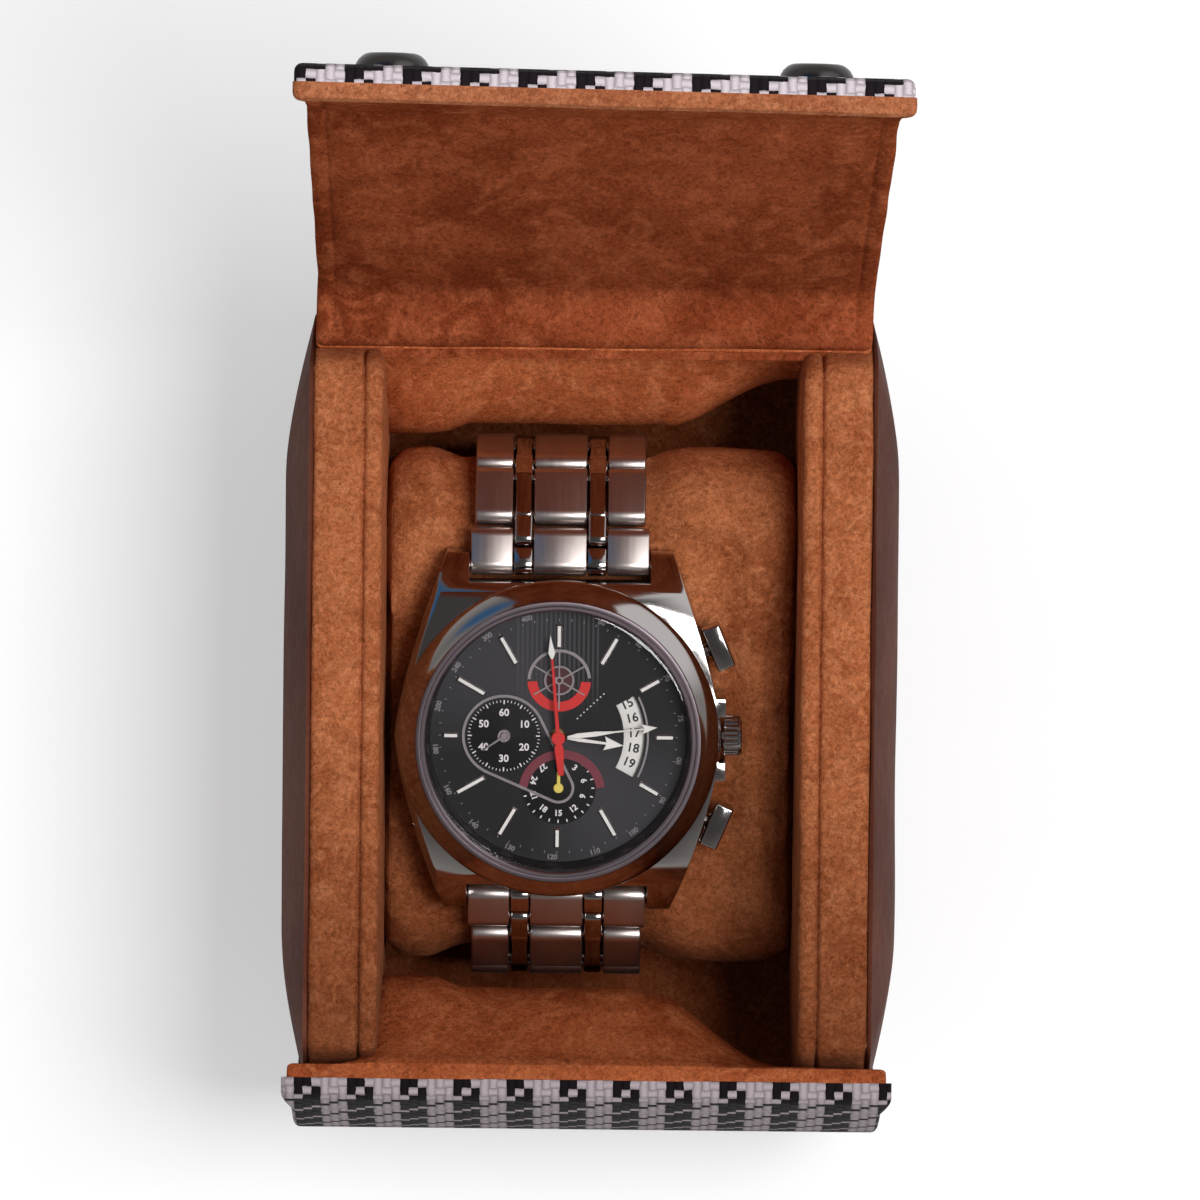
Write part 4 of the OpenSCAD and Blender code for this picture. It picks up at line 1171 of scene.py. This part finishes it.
# %% Bezel, its satin ring, the flange and the crystal
bezel_r = 21.3
case_top = 1.5
slope = [(17.9, case_top + 0.02), (bezel_r, case_top + 0.02), (bezel_r, 1.8), (21.22, 2.05), (21.05, 2.3),
         (20.7, 2.65), (20.2, 3.05), (19.6, 3.42), (19.15, 3.68), (19.0, 3.8), (18.9, 3.86), (17.9, 3.86)]
on_watch(spun(slope, steps=128), "bezel_slope", polished_steel, replaced=["watch_bezel"])
satin = [(17.6, 3.2), (18.98, 3.2), (18.98, 3.95), (18.84, 4.1), (18.5, 4.14), (18.3, 4.12), (18.24, 4.04),
         (18.18, 4.12), (17.85, 4.12), (17.68, 4.02), (17.6, 3.9)]
on_watch(spun(satin, steps=128), "bezel_ring", flange_metal)
flange = [(16.95, 0.02), (17.35, 0.02), (17.35, 1.5), (17.9, 1.6), (17.9, 2.5), (17.55, 2.5), (17.48, 2.4),
          (17.2, 1.0)]
on_watch(spun(flange, steps=128), "flange_ring", dark_steel, replaced=["dial_flange"])
dome = [(0, 2.6), (17.58, 2.6), (17.58, 3.85), (17.46, 4.02)]
dome += [(17.36 * math.cos(a), 4.05 + 0.25 * math.sin(a)) for a in (math.pi / 24 * i for i in range(13))]
on_watch(spun(dome, steps=96, closed=False), "crystal_dome", crystal_glass,
         replaced=["watch_crystal"])

# %% [markdown]
# ## The dial
# A sunburst lacquer looks pale along one line across the dial and dark beside it.
# That pale band, with faint rays, is a painted reflection in the lacquer's colour.
# Its upper part has fine upright stripes. The small dials are grooved discs, and
# a bright line runs round both of them like a belt.

# %% Dial lacquer
dial_lacquer, tree, shader = new_material("dial_lacquer", Roughness=0.42, Specular_IOR_Level=0.3)
solid_place = object_place(tree)
settings = {"Vector": solid_place, "Location": watch_at, "Rotation": (watch_tilt, 0, 0)}
dial_place = add_node(tree, "Mapping", settings, vector_type="TEXTURE").outputs[0]
dial_xyz = add_node(tree, "SeparateXYZ", {"Vector": dial_place})
turn = calc(tree, "ARCTAN2", dial_xyz.outputs[1], dial_xyz.outputs[0])
# painted reflection: the sunburst's pale band and faint rays, painted into the lacquer's colour by angle
painted_sheen_angle = math.radians(132)
painted_sheen = calc(tree, "COSINE", calc(tree, "MULTIPLY", calc(tree, "SUBTRACT", turn, painted_sheen_angle), 2.0))
rays = add_node(tree, "CombineXYZ", {"X": calc(tree, "MULTIPLY", turn, 30.0)}).outputs[0]
uneven = calc(tree, "SUBTRACT", noise_at(tree, rays, 1.0, 3.0), 0.5)
painted_sheen = calc(tree, "ADD", painted_sheen, calc(tree, "MULTIPLY", uneven, 0.5))
painted_sheen = ramp(tree, painted_sheen, -0.5, 1.0)
stripe_run = calc(tree, "MULTIPLY", dial_xyz.outputs[0], math.tau / (0.62 * mm))
stripe = ramp(tree, calc(tree, "SINE", stripe_run), -0.4, 0.9)
inside = calc(tree, "LESS_THAN", calc(tree, "ABSOLUTE", dial_xyz.outputs[0]), 5.6 * mm)
inside = calc(tree, "MULTIPLY", inside, ramp(tree, dial_xyz.outputs[1], 3 * mm, 9 * mm))
striped = calc(tree, "MULTIPLY", calc(tree, "MULTIPLY", stripe, inside), 0.8)
lacquer = mix_colour(tree, painted_sheen, colour(20, 19, 21), colour(54, 52, 56))
lacquer = mix_colour(tree, striped, lacquer, colour(70, 68, 73))
tree.links.new(lacquer, shader.inputs["Base Color"])

# %% Printed lettering as flat meshes
def lettering(bm, text, size, x, y, turn_degrees=0.0, z=0.06):
    """Adds flat lettering centred on (x, y), in the font that comes with the program."""
    curve = bpy.data.curves.new("lettering", "FONT")
    curve.body = text
    curve.size = size * mm
    curve.align_x = "CENTER"
    curve.align_y = "CENTER"
    curve.resolution_u = 3
    curve.extrude = 0.008 * mm
    curve.offset = 0.035 * mm
    holder = bpy.data.objects.new("lettering", curve)
    mesh = bpy.data.meshes.new_from_object(holder)
    before = set(bm.verts)
    bm.from_mesh(mesh)
    fresh = [v for v in bm.verts if v not in before]
    turn = Matrix.Rotation(math.radians(turn_degrees), 4, "Z")
    place = Matrix.Translation(Vector((x, y, z)) * mm)
    bmesh.ops.transform(bm, matrix=place @ turn, verts=fresh)
    bpy.data.objects.remove(holder)
    bpy.data.curves.remove(curve)
    bpy.data.meshes.remove(mesh)


def around(radius, degrees, centre=(0, 0)):
    """The place at a radius and an angle round a centre."""
    a = math.radians(degrees)
    return centre[0] + radius * math.cos(a), centre[1] + radius * math.sin(a)


# %% Small dials, their belt line and the arcs
left_dial = (-7.2, 0)
low_dial = (0.1, -6.95)
wheel_at = (0.05, 7.55)
grooves = [(0, 0.02)]
for i in range(1, 19):
    grooves += [(0.26 * i - 0.08, 0.034), (0.26 * i, 0.024)]
grooves += [(4.95, 0.034), (4.95, 0.005), (0, 0.005)]
on_watch(spun(grooves, left_dial, 72), "small_dial_left", gloss_black)
on_watch(spun(grooves, low_dial, 72), "small_dial_low", gloss_black)


def belt(radius_a, radius_b, steps=40):
    """The outline of a belt round the two small dials."""
    centre_a, centre_b = Vector(left_dial), Vector(low_dial)
    run = centre_b - centre_a
    heading = math.degrees(math.atan2(run.y, run.x))
    spread = math.degrees(math.acos((radius_a - radius_b) / run.length))
    loop = [around(radius_a, heading + spread + (360 - 2 * spread) * i / steps, centre_a)
            for i in range(steps + 1)]
    return loop + [around(radius_b, heading - spread + 2 * spread * i / 20, centre_b)
                   for i in range(21)]


bm = bmesh.new()
plate(bm, belt(5.55, 2.1), 0.03, 0.2, inner=belt(5.2, 1.75))
ring_arc(bm, 11.75, 12.0, 0.01, 0.1, -27, 27)
on_watch(bm, "belt_line", trim_metal, replaced=["subdial_rings"])
bm = bmesh.new()
ring_arc(bm, 4.6, 5.75, 0.04, 0.08, 8, 172, (0.55, -7.6))
on_watch(bm, "low_arc", crimson)
bm = bmesh.new()
ring_arc(bm, 2.9, 4.2, 0.04, 0.1, 183, 357, wheel_at)
on_watch(bm, "wheel_arc", hand_red)
bm = spun([(0, 0.01), (1.85, 0.01), (1.85, 0.05), (0, 0.05)], wheel_at, 40)
on_watch(bm, "wheel_ground", dark_red)
bm = bmesh.new()
ring_arc(bm, 3.8, 4.2, 0.05, 0.18, 5, 178, wheel_at)
ring_arc(bm, 1.75, 1.98, 0.05, 0.22, 0, 359.9, wheel_at)
ring_arc(bm, 0.3, 0.55, 0.05, 0.25, 0, 359.9, wheel_at)
for i in range(6):
    bar(bm, 0.5, 3.9, 0.2, 0.06, 0.16, 30 + 60 * i, centre=wheel_at)
on_watch(bm, "wheel_spokes", trim_metal)
on_watch(spun(disc(0.9, 0.03, 0.32, 0.1), left_dial, 32), "small_post", trim_metal)
print("small dials made")

# %% Ticks and numbers
bm = bmesh.new()
for i in range(60):
    near, width = (4.25, 0.17) if i % 5 == 0 else (4.5, 0.1)
    bar(bm, near, 4.8, width, 0.036, 0.05, 6 * i, centre=left_dial)
for i in range(24):
    bar(bm, 4.35, 4.75, 0.16, 0.036, 0.05, 15 * i, centre=low_dial)
for i in range(6):
    x, y = around(3.1, 90 - 60 * i, left_dial)
    lettering(bm, str(60 if i == 0 else 10 * i), 1.35, x, y, 0, 0.05)
for i in range(9):
    degrees = 52 - 35.5 * i
    x, y = around(3.45, degrees, low_dial)
    upright = degrees - 90 if degrees > 0 else degrees + 90
    lettering(bm, str(3 * (i + 1)), 1.1, x, y, upright, 0.05)
for i in range(9):
    bar(bm, 3.4 + 0.6 * i, 3.6 + 0.6 * i, 0.16, 0.01, 0.04, 44)
on_watch(bm, "small_numbers", print_white)
bm = bmesh.new()
scale_marks = (60, 65, 70, 75, 80, 90, 100, 110, 120, 130, 140, 160, 180, 200, 240, 300, 400)
for i, number in enumerate(scale_marks):
    degrees = 70 - 345 * i / len(scale_marks)
    x, y = around(16.35, degrees)
    upright = degrees - 90 if math.sin(math.radians(degrees)) > 0 else degrees + 90
    lettering(bm, str(number), 0.95, x, y, upright, 0.03)
for i in range(60):
    bar(bm, 15.55, 15.85, 0.1, 0.01, 0.03, 6 * i)
on_watch(bm, "outer_scale", print_grey)

# %% Hour markers and date
markers = {hour: (11.2, 15.5) for hour in range(1, 13)}
markers |= {2: (12.4, 15.5), 3: (12.85, 15.4), 4: (12.4, 15.5), 6: (12.45, 15.1),
            9: (13.2, 15.3), 12: (11.9, 15.1)}
batons, glows = bmesh.new(), bmesh.new()
for hour, (near, far) in markers.items():
    bar(batons, near, far, 0.82, 0.01, 0.32, 90 - 30 * hour, bevel=0.2)
    bar(glows, near + 0.2, far - 0.2, 0.42, 0.3, 0.36, 90 - 30 * hour)
on_watch(batons, "marker_batons", trim_metal, replaced=["hour_markers"])
on_watch(glows, "marker_glow", marker_white)
bm = bmesh.new()
for i in range(5):
    degrees = 25.5 - 11.6 * i
    x, y = around(10.05, degrees)
    lettering(bm, str(15 + i), 1.7, x, y, degrees, -0.58)
on_watch(bm, "date_numbers", print_black)

# %% [markdown]
# ## The hands
# The hour and minute hands are slim leaves with arrowheads. The red chronograph
# hand has a white lozenge near its tip and a thick tail, and the small counter
# hand is yellow with a round hub. Each rides on its own body.


# %% Hands
def hand(outlines, low, high, hub_r, degrees, centre=(0, 0), bevel=0.06):
    """A hand of flat outlines that points along x, turned to its angle."""
    bm = bmesh.new()
    for outline in outlines:
        plate(bm, outline, low, high, bevel)
    if hub_r:
        plate(bm, [around(hub_r, 15 * i) for i in range(24)], low, high + 0.04, 0.1)
    turned(bm, bm.verts, degrees, centre)
    return bm


leaf = [(1.2, -0.1), (2.6, -0.34), (5, -0.34), (7.4, -0.12)]
minute_leaf = leaf + [(11.4, -0.1), (11.1, -0.68), (13.2, 0)]
hour_leaf = [(1.2, -0.12), (2.8, -0.26), (6.4, -0.16), (6.1, -0.95), (8.7, 0)]


def both_sides(half):
    """A half outline and its mirror image. A last point on the axis is kept once."""
    other = [(x, -y) for x, y in reversed(half) if y != 0]
    return half + other


hour_angle, minute_angle, chrono_angle = 90 - 97.0, 90 - 83.4, 94.9
needle = [(-5, -0.38), (-1.4, -0.62), (-0.7, -0.4), (0.6, -0.26), (10.9, -0.15)]
lozenge = [(10.7, -0.12), (11.5, -0.46), (14, 0)]
pointer = [(-0.9, -0.18), (0, -0.2), (3.4, -0.1)]
short = [(0, -0.24), (2.2, -0.22)]
middle = (0, 0)
# name, body, slot, material, half outline, low, high, hub radius, angle, centre
hands = [
    ("hand_minute", "minute_hand", "marker_metal", marker_white,
     minute_leaf, 1.0, 1.2, 0.75, minute_angle, middle),
    ("hand_hour", "hour_hand", "marker_metal", marker_white,
     hour_leaf, 0.55, 0.75, 0.8, hour_angle, middle),
    ("hand_chrono", "chrono_hand", "hand_red", hand_red,
     needle, 1.45, 1.65, 0.92, chrono_angle, middle),
    ("hand_chrono_tip", "chrono_hand", "marker_metal", marker_white,
     lozenge, 1.46, 1.66, 0, chrono_angle, middle),
    ("hand_seconds", "small_seconds_hand", "marker_metal", trim_metal,
     pointer, 0.34, 0.46, 0.5, 215, left_dial),
    ("hand_counter", "counter_hand", "hand_yellow", hand_yellow,
     short, 0.3, 0.45, 0.66, 90, low_dial),
]
for name, body, slot, material, half, low, high, hub_r, degrees, centre in hands:
    bm = hand([both_sides(half)], low, high, hub_r, degrees, centre)
    on_watch(bm, name, material, body, [] if name == "hand_chrono_tip" else [body])

# %% [markdown]
# ## The bracelet
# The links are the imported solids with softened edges, so each catches a bright
# line. Narrow polished columns, cut from the centre links, fill the space beside
# them. The end links are cut into the same five columns as the bracelet.

# %% Links and end links
def pour(part, target):
    """Adds one bmesh to another and frees it."""
    mesh = bpy.data.meshes.new("column")
    part.to_mesh(mesh)
    part.free()
    target.from_mesh(mesh)
    bpy.data.meshes.remove(mesh)


links = {
    "bracelet_outer_links": ("links_outer", "brushed_steel", brushed_steel, 0.28),
    "bracelet_centre_links": ("links_centre", "brushed_steel", brushed_steel, 0.28),
    "bracelet_polished_links": ("links_polished", "polished_steel", polished_steel, 0.3),
}
for node, (name, slot, material, width) in links.items():
    make_piece(softened(copied(node), width, 3), name, material, "watch_on_pillow", [node])
watch_x = watch_at.x / mm
narrow_half_w, narrow_x, narrow_drop = 1.15, 4.9, 0.12
narrow = bmesh.new()
for side in (-1, 1):
    part = slice_x(
        copied("bracelet_centre_links"), watch_x - narrow_half_w, watch_x + narrow_half_w)
    softened(part, 0.28, 3)
    part.normal_update()
    for v in part.verts:
        v.co -= v.normal * narrow_drop * mm
    bmesh.ops.translate(part, vec=(side * narrow_x * mm, 0, 0), verts=part.verts)
    pour(part, narrow)
make_piece(narrow, "links_narrow", polished_steel, "watch_on_pillow")
column_edges = [(-11.78, -6.28), (-6.1, -3.68), (-3.5, 3.5), (3.68, 6.1), (6.28, 11.78)]
bright_columns = (1, 3)
bright, satin_parts = bmesh.new(), bmesh.new()
for number, (low, high) in enumerate(column_edges):
    part = softened(slice_x(copied("end_links"), watch_x + low, watch_x + high), 0.2, 2)
    pour(part, bright if number in bright_columns else satin_parts)
make_piece(satin_parts, "end_links_satin", brushed_steel, "watch_on_pillow",
           ["end_links"])
make_piece(bright, "end_links_bright", polished_steel, "watch_on_pillow")

# %% [markdown]
# ## Finishes for the solids that stay
# Boards, magnets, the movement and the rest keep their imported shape, which is
# right, and take a finish.

# %% Dress the solids
finishes = {
    "base_board": board_paper, "front_board": board_paper, "flap_board": board_paper,
    "end_board": board_paper, "cheek_core_left": foam_tan, "cheek_core_right": foam_tan,
    "front_magnets": magnet_metal, "flap_magnets": magnet_metal,
    "pillow_core": foam_white, "watch_dial": dial_lacquer,
    "date_disc": white_enamel, "movement": brass, "case_gasket": rubber_black,
    "case_back": brushed_steel, "crown_tube": polished_steel, "winding_stem": polished_steel,
    "spring_bars": polished_steel, "bracelet_pins": polished_steel, "clasp_cover": brushed_steel,
    "clasp_blades": polished_steel,
}
for node, material in finishes.items():
    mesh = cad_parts[node].data
    mesh.materials.clear()
    mesh.materials.append(material)
print(len(finishes), "solids dressed")

# %% [markdown]
# ## Floor, light and background
# The case stands on a white sheet that runs out of the picture. One large soft
# lamp hangs high to the right, so the left of each hollow is lit and shadows fall
# softly to the left; the world fills the rest. What the camera sees of the world
# is plain white. Metal sees a room instead: grey walls, a dim ceiling, one bright
# side and a blue window. Each has its place by direction.

# %% Floor and lights
white_light = (1, 1, 1, 1)
floor_material, tree, shader = new_material(
    "floor_white", Roughness=0.9, Specular_IOR_Level=0.1, Emission_Color=white_light)
paper = noise_at(tree, object_place(tree), 60.0, 4.0)
paper_tone = mix_colour(tree, paper, (0.66, 0.66, 0.66, 1), (0.68, 0.68, 0.68, 1))
tree.links.new(paper_tone, shader.inputs["Base Color"])
floor_seen = calc(tree, "MULTIPLY", add_node(tree, "LightPath").outputs["Is Camera Ray"], 0.38)
tree.links.new(floor_seen, shader.inputs["Emission Strength"])
bm = bmesh.new()
bmesh.ops.create_grid(bm, x_segments=4, y_segments=4, size=2.5)
mesh = bpy.data.meshes.new("floor")
bm.to_mesh(mesh)
bm.free()
floor = bpy.data.objects.new("floor", mesh)
floor.location.z = -0.0002
bpy.context.scene.collection.objects.link(floor)
mesh.materials.append(floor_material)

world = bpy.data.worlds.new("studio")
bpy.context.scene.world = world
world.use_nodes = True
tree = world.node_tree
sky = tree.nodes["Background"]
path = add_node(tree, "LightPath")
seen = calc(tree, "MAXIMUM", path.outputs["Is Camera Ray"], path.outputs["Is Glossy Ray"])
seen = calc(tree, "MAXIMUM", seen, path.outputs["Is Transmission Ray"])
fill_level = 0.44
strength = calc(tree, "ADD", calc(tree, "MULTIPLY", seen, 1 - fill_level), fill_level)
tree.links.new(strength, sky.inputs["Strength"])
heading = add_node(tree, "TexCoord").outputs["Generated"]
upward = add_node(tree, "SeparateXYZ", {"Vector": heading}).outputs[2]
walls, ceiling = (0.4, 0.39, 0.38, 1), (0.08, 0.075, 0.075, 1)
room = mix_colour(tree, ramp(tree, upward, 0.4, 0.9), walls, ceiling)
# direction, where it starts and is full, colour
patches_of_light = [
    ((0.6, 0.5, 0.62), 0.82, 0.93, (0.95, 0.95, 0.95, 1)),
    ((-0.45, 0.42, 0.788), 0.955, 0.985, (0.05, 0.16, 0.34, 1)),
]
for direction, start, full, tone in patches_of_light:
    aligned = add_node(tree, "VectorMath", {0: heading, 1: direction}, operation="DOT_PRODUCT")
    share = ramp(tree, aligned.outputs["Value"], start, full)
    room = mix_colour(tree, share, room, tone)
seen_by_metal = mix_colour(tree, path.outputs["Is Glossy Ray"], white_light, room)
tree.links.new(seen_by_metal, sky.inputs["Color"])


def area_lamp(name, place, target, size, watts, tone=(1, 1, 1)):
    """A square soft lamp aimed at a point."""
    data = bpy.data.lights.new(name, "AREA")
    data.size = size
    data.energy = watts
    data.color = tone
    lamp = bpy.data.objects.new(name, data)
    lamp.location = place
    lamp.rotation_euler = (Vector(target) - Vector(place)).to_track_quat("-Z", "Y").to_euler()
    bpy.context.scene.collection.objects.link(lamp)
    return lamp


area_lamp("key", (0.46, 0.0, 1.3), (0, 0, 0.05), 0.52, 12)
bpy.context.scene.view_settings.view_transform = "Standard"
print("lights placed")
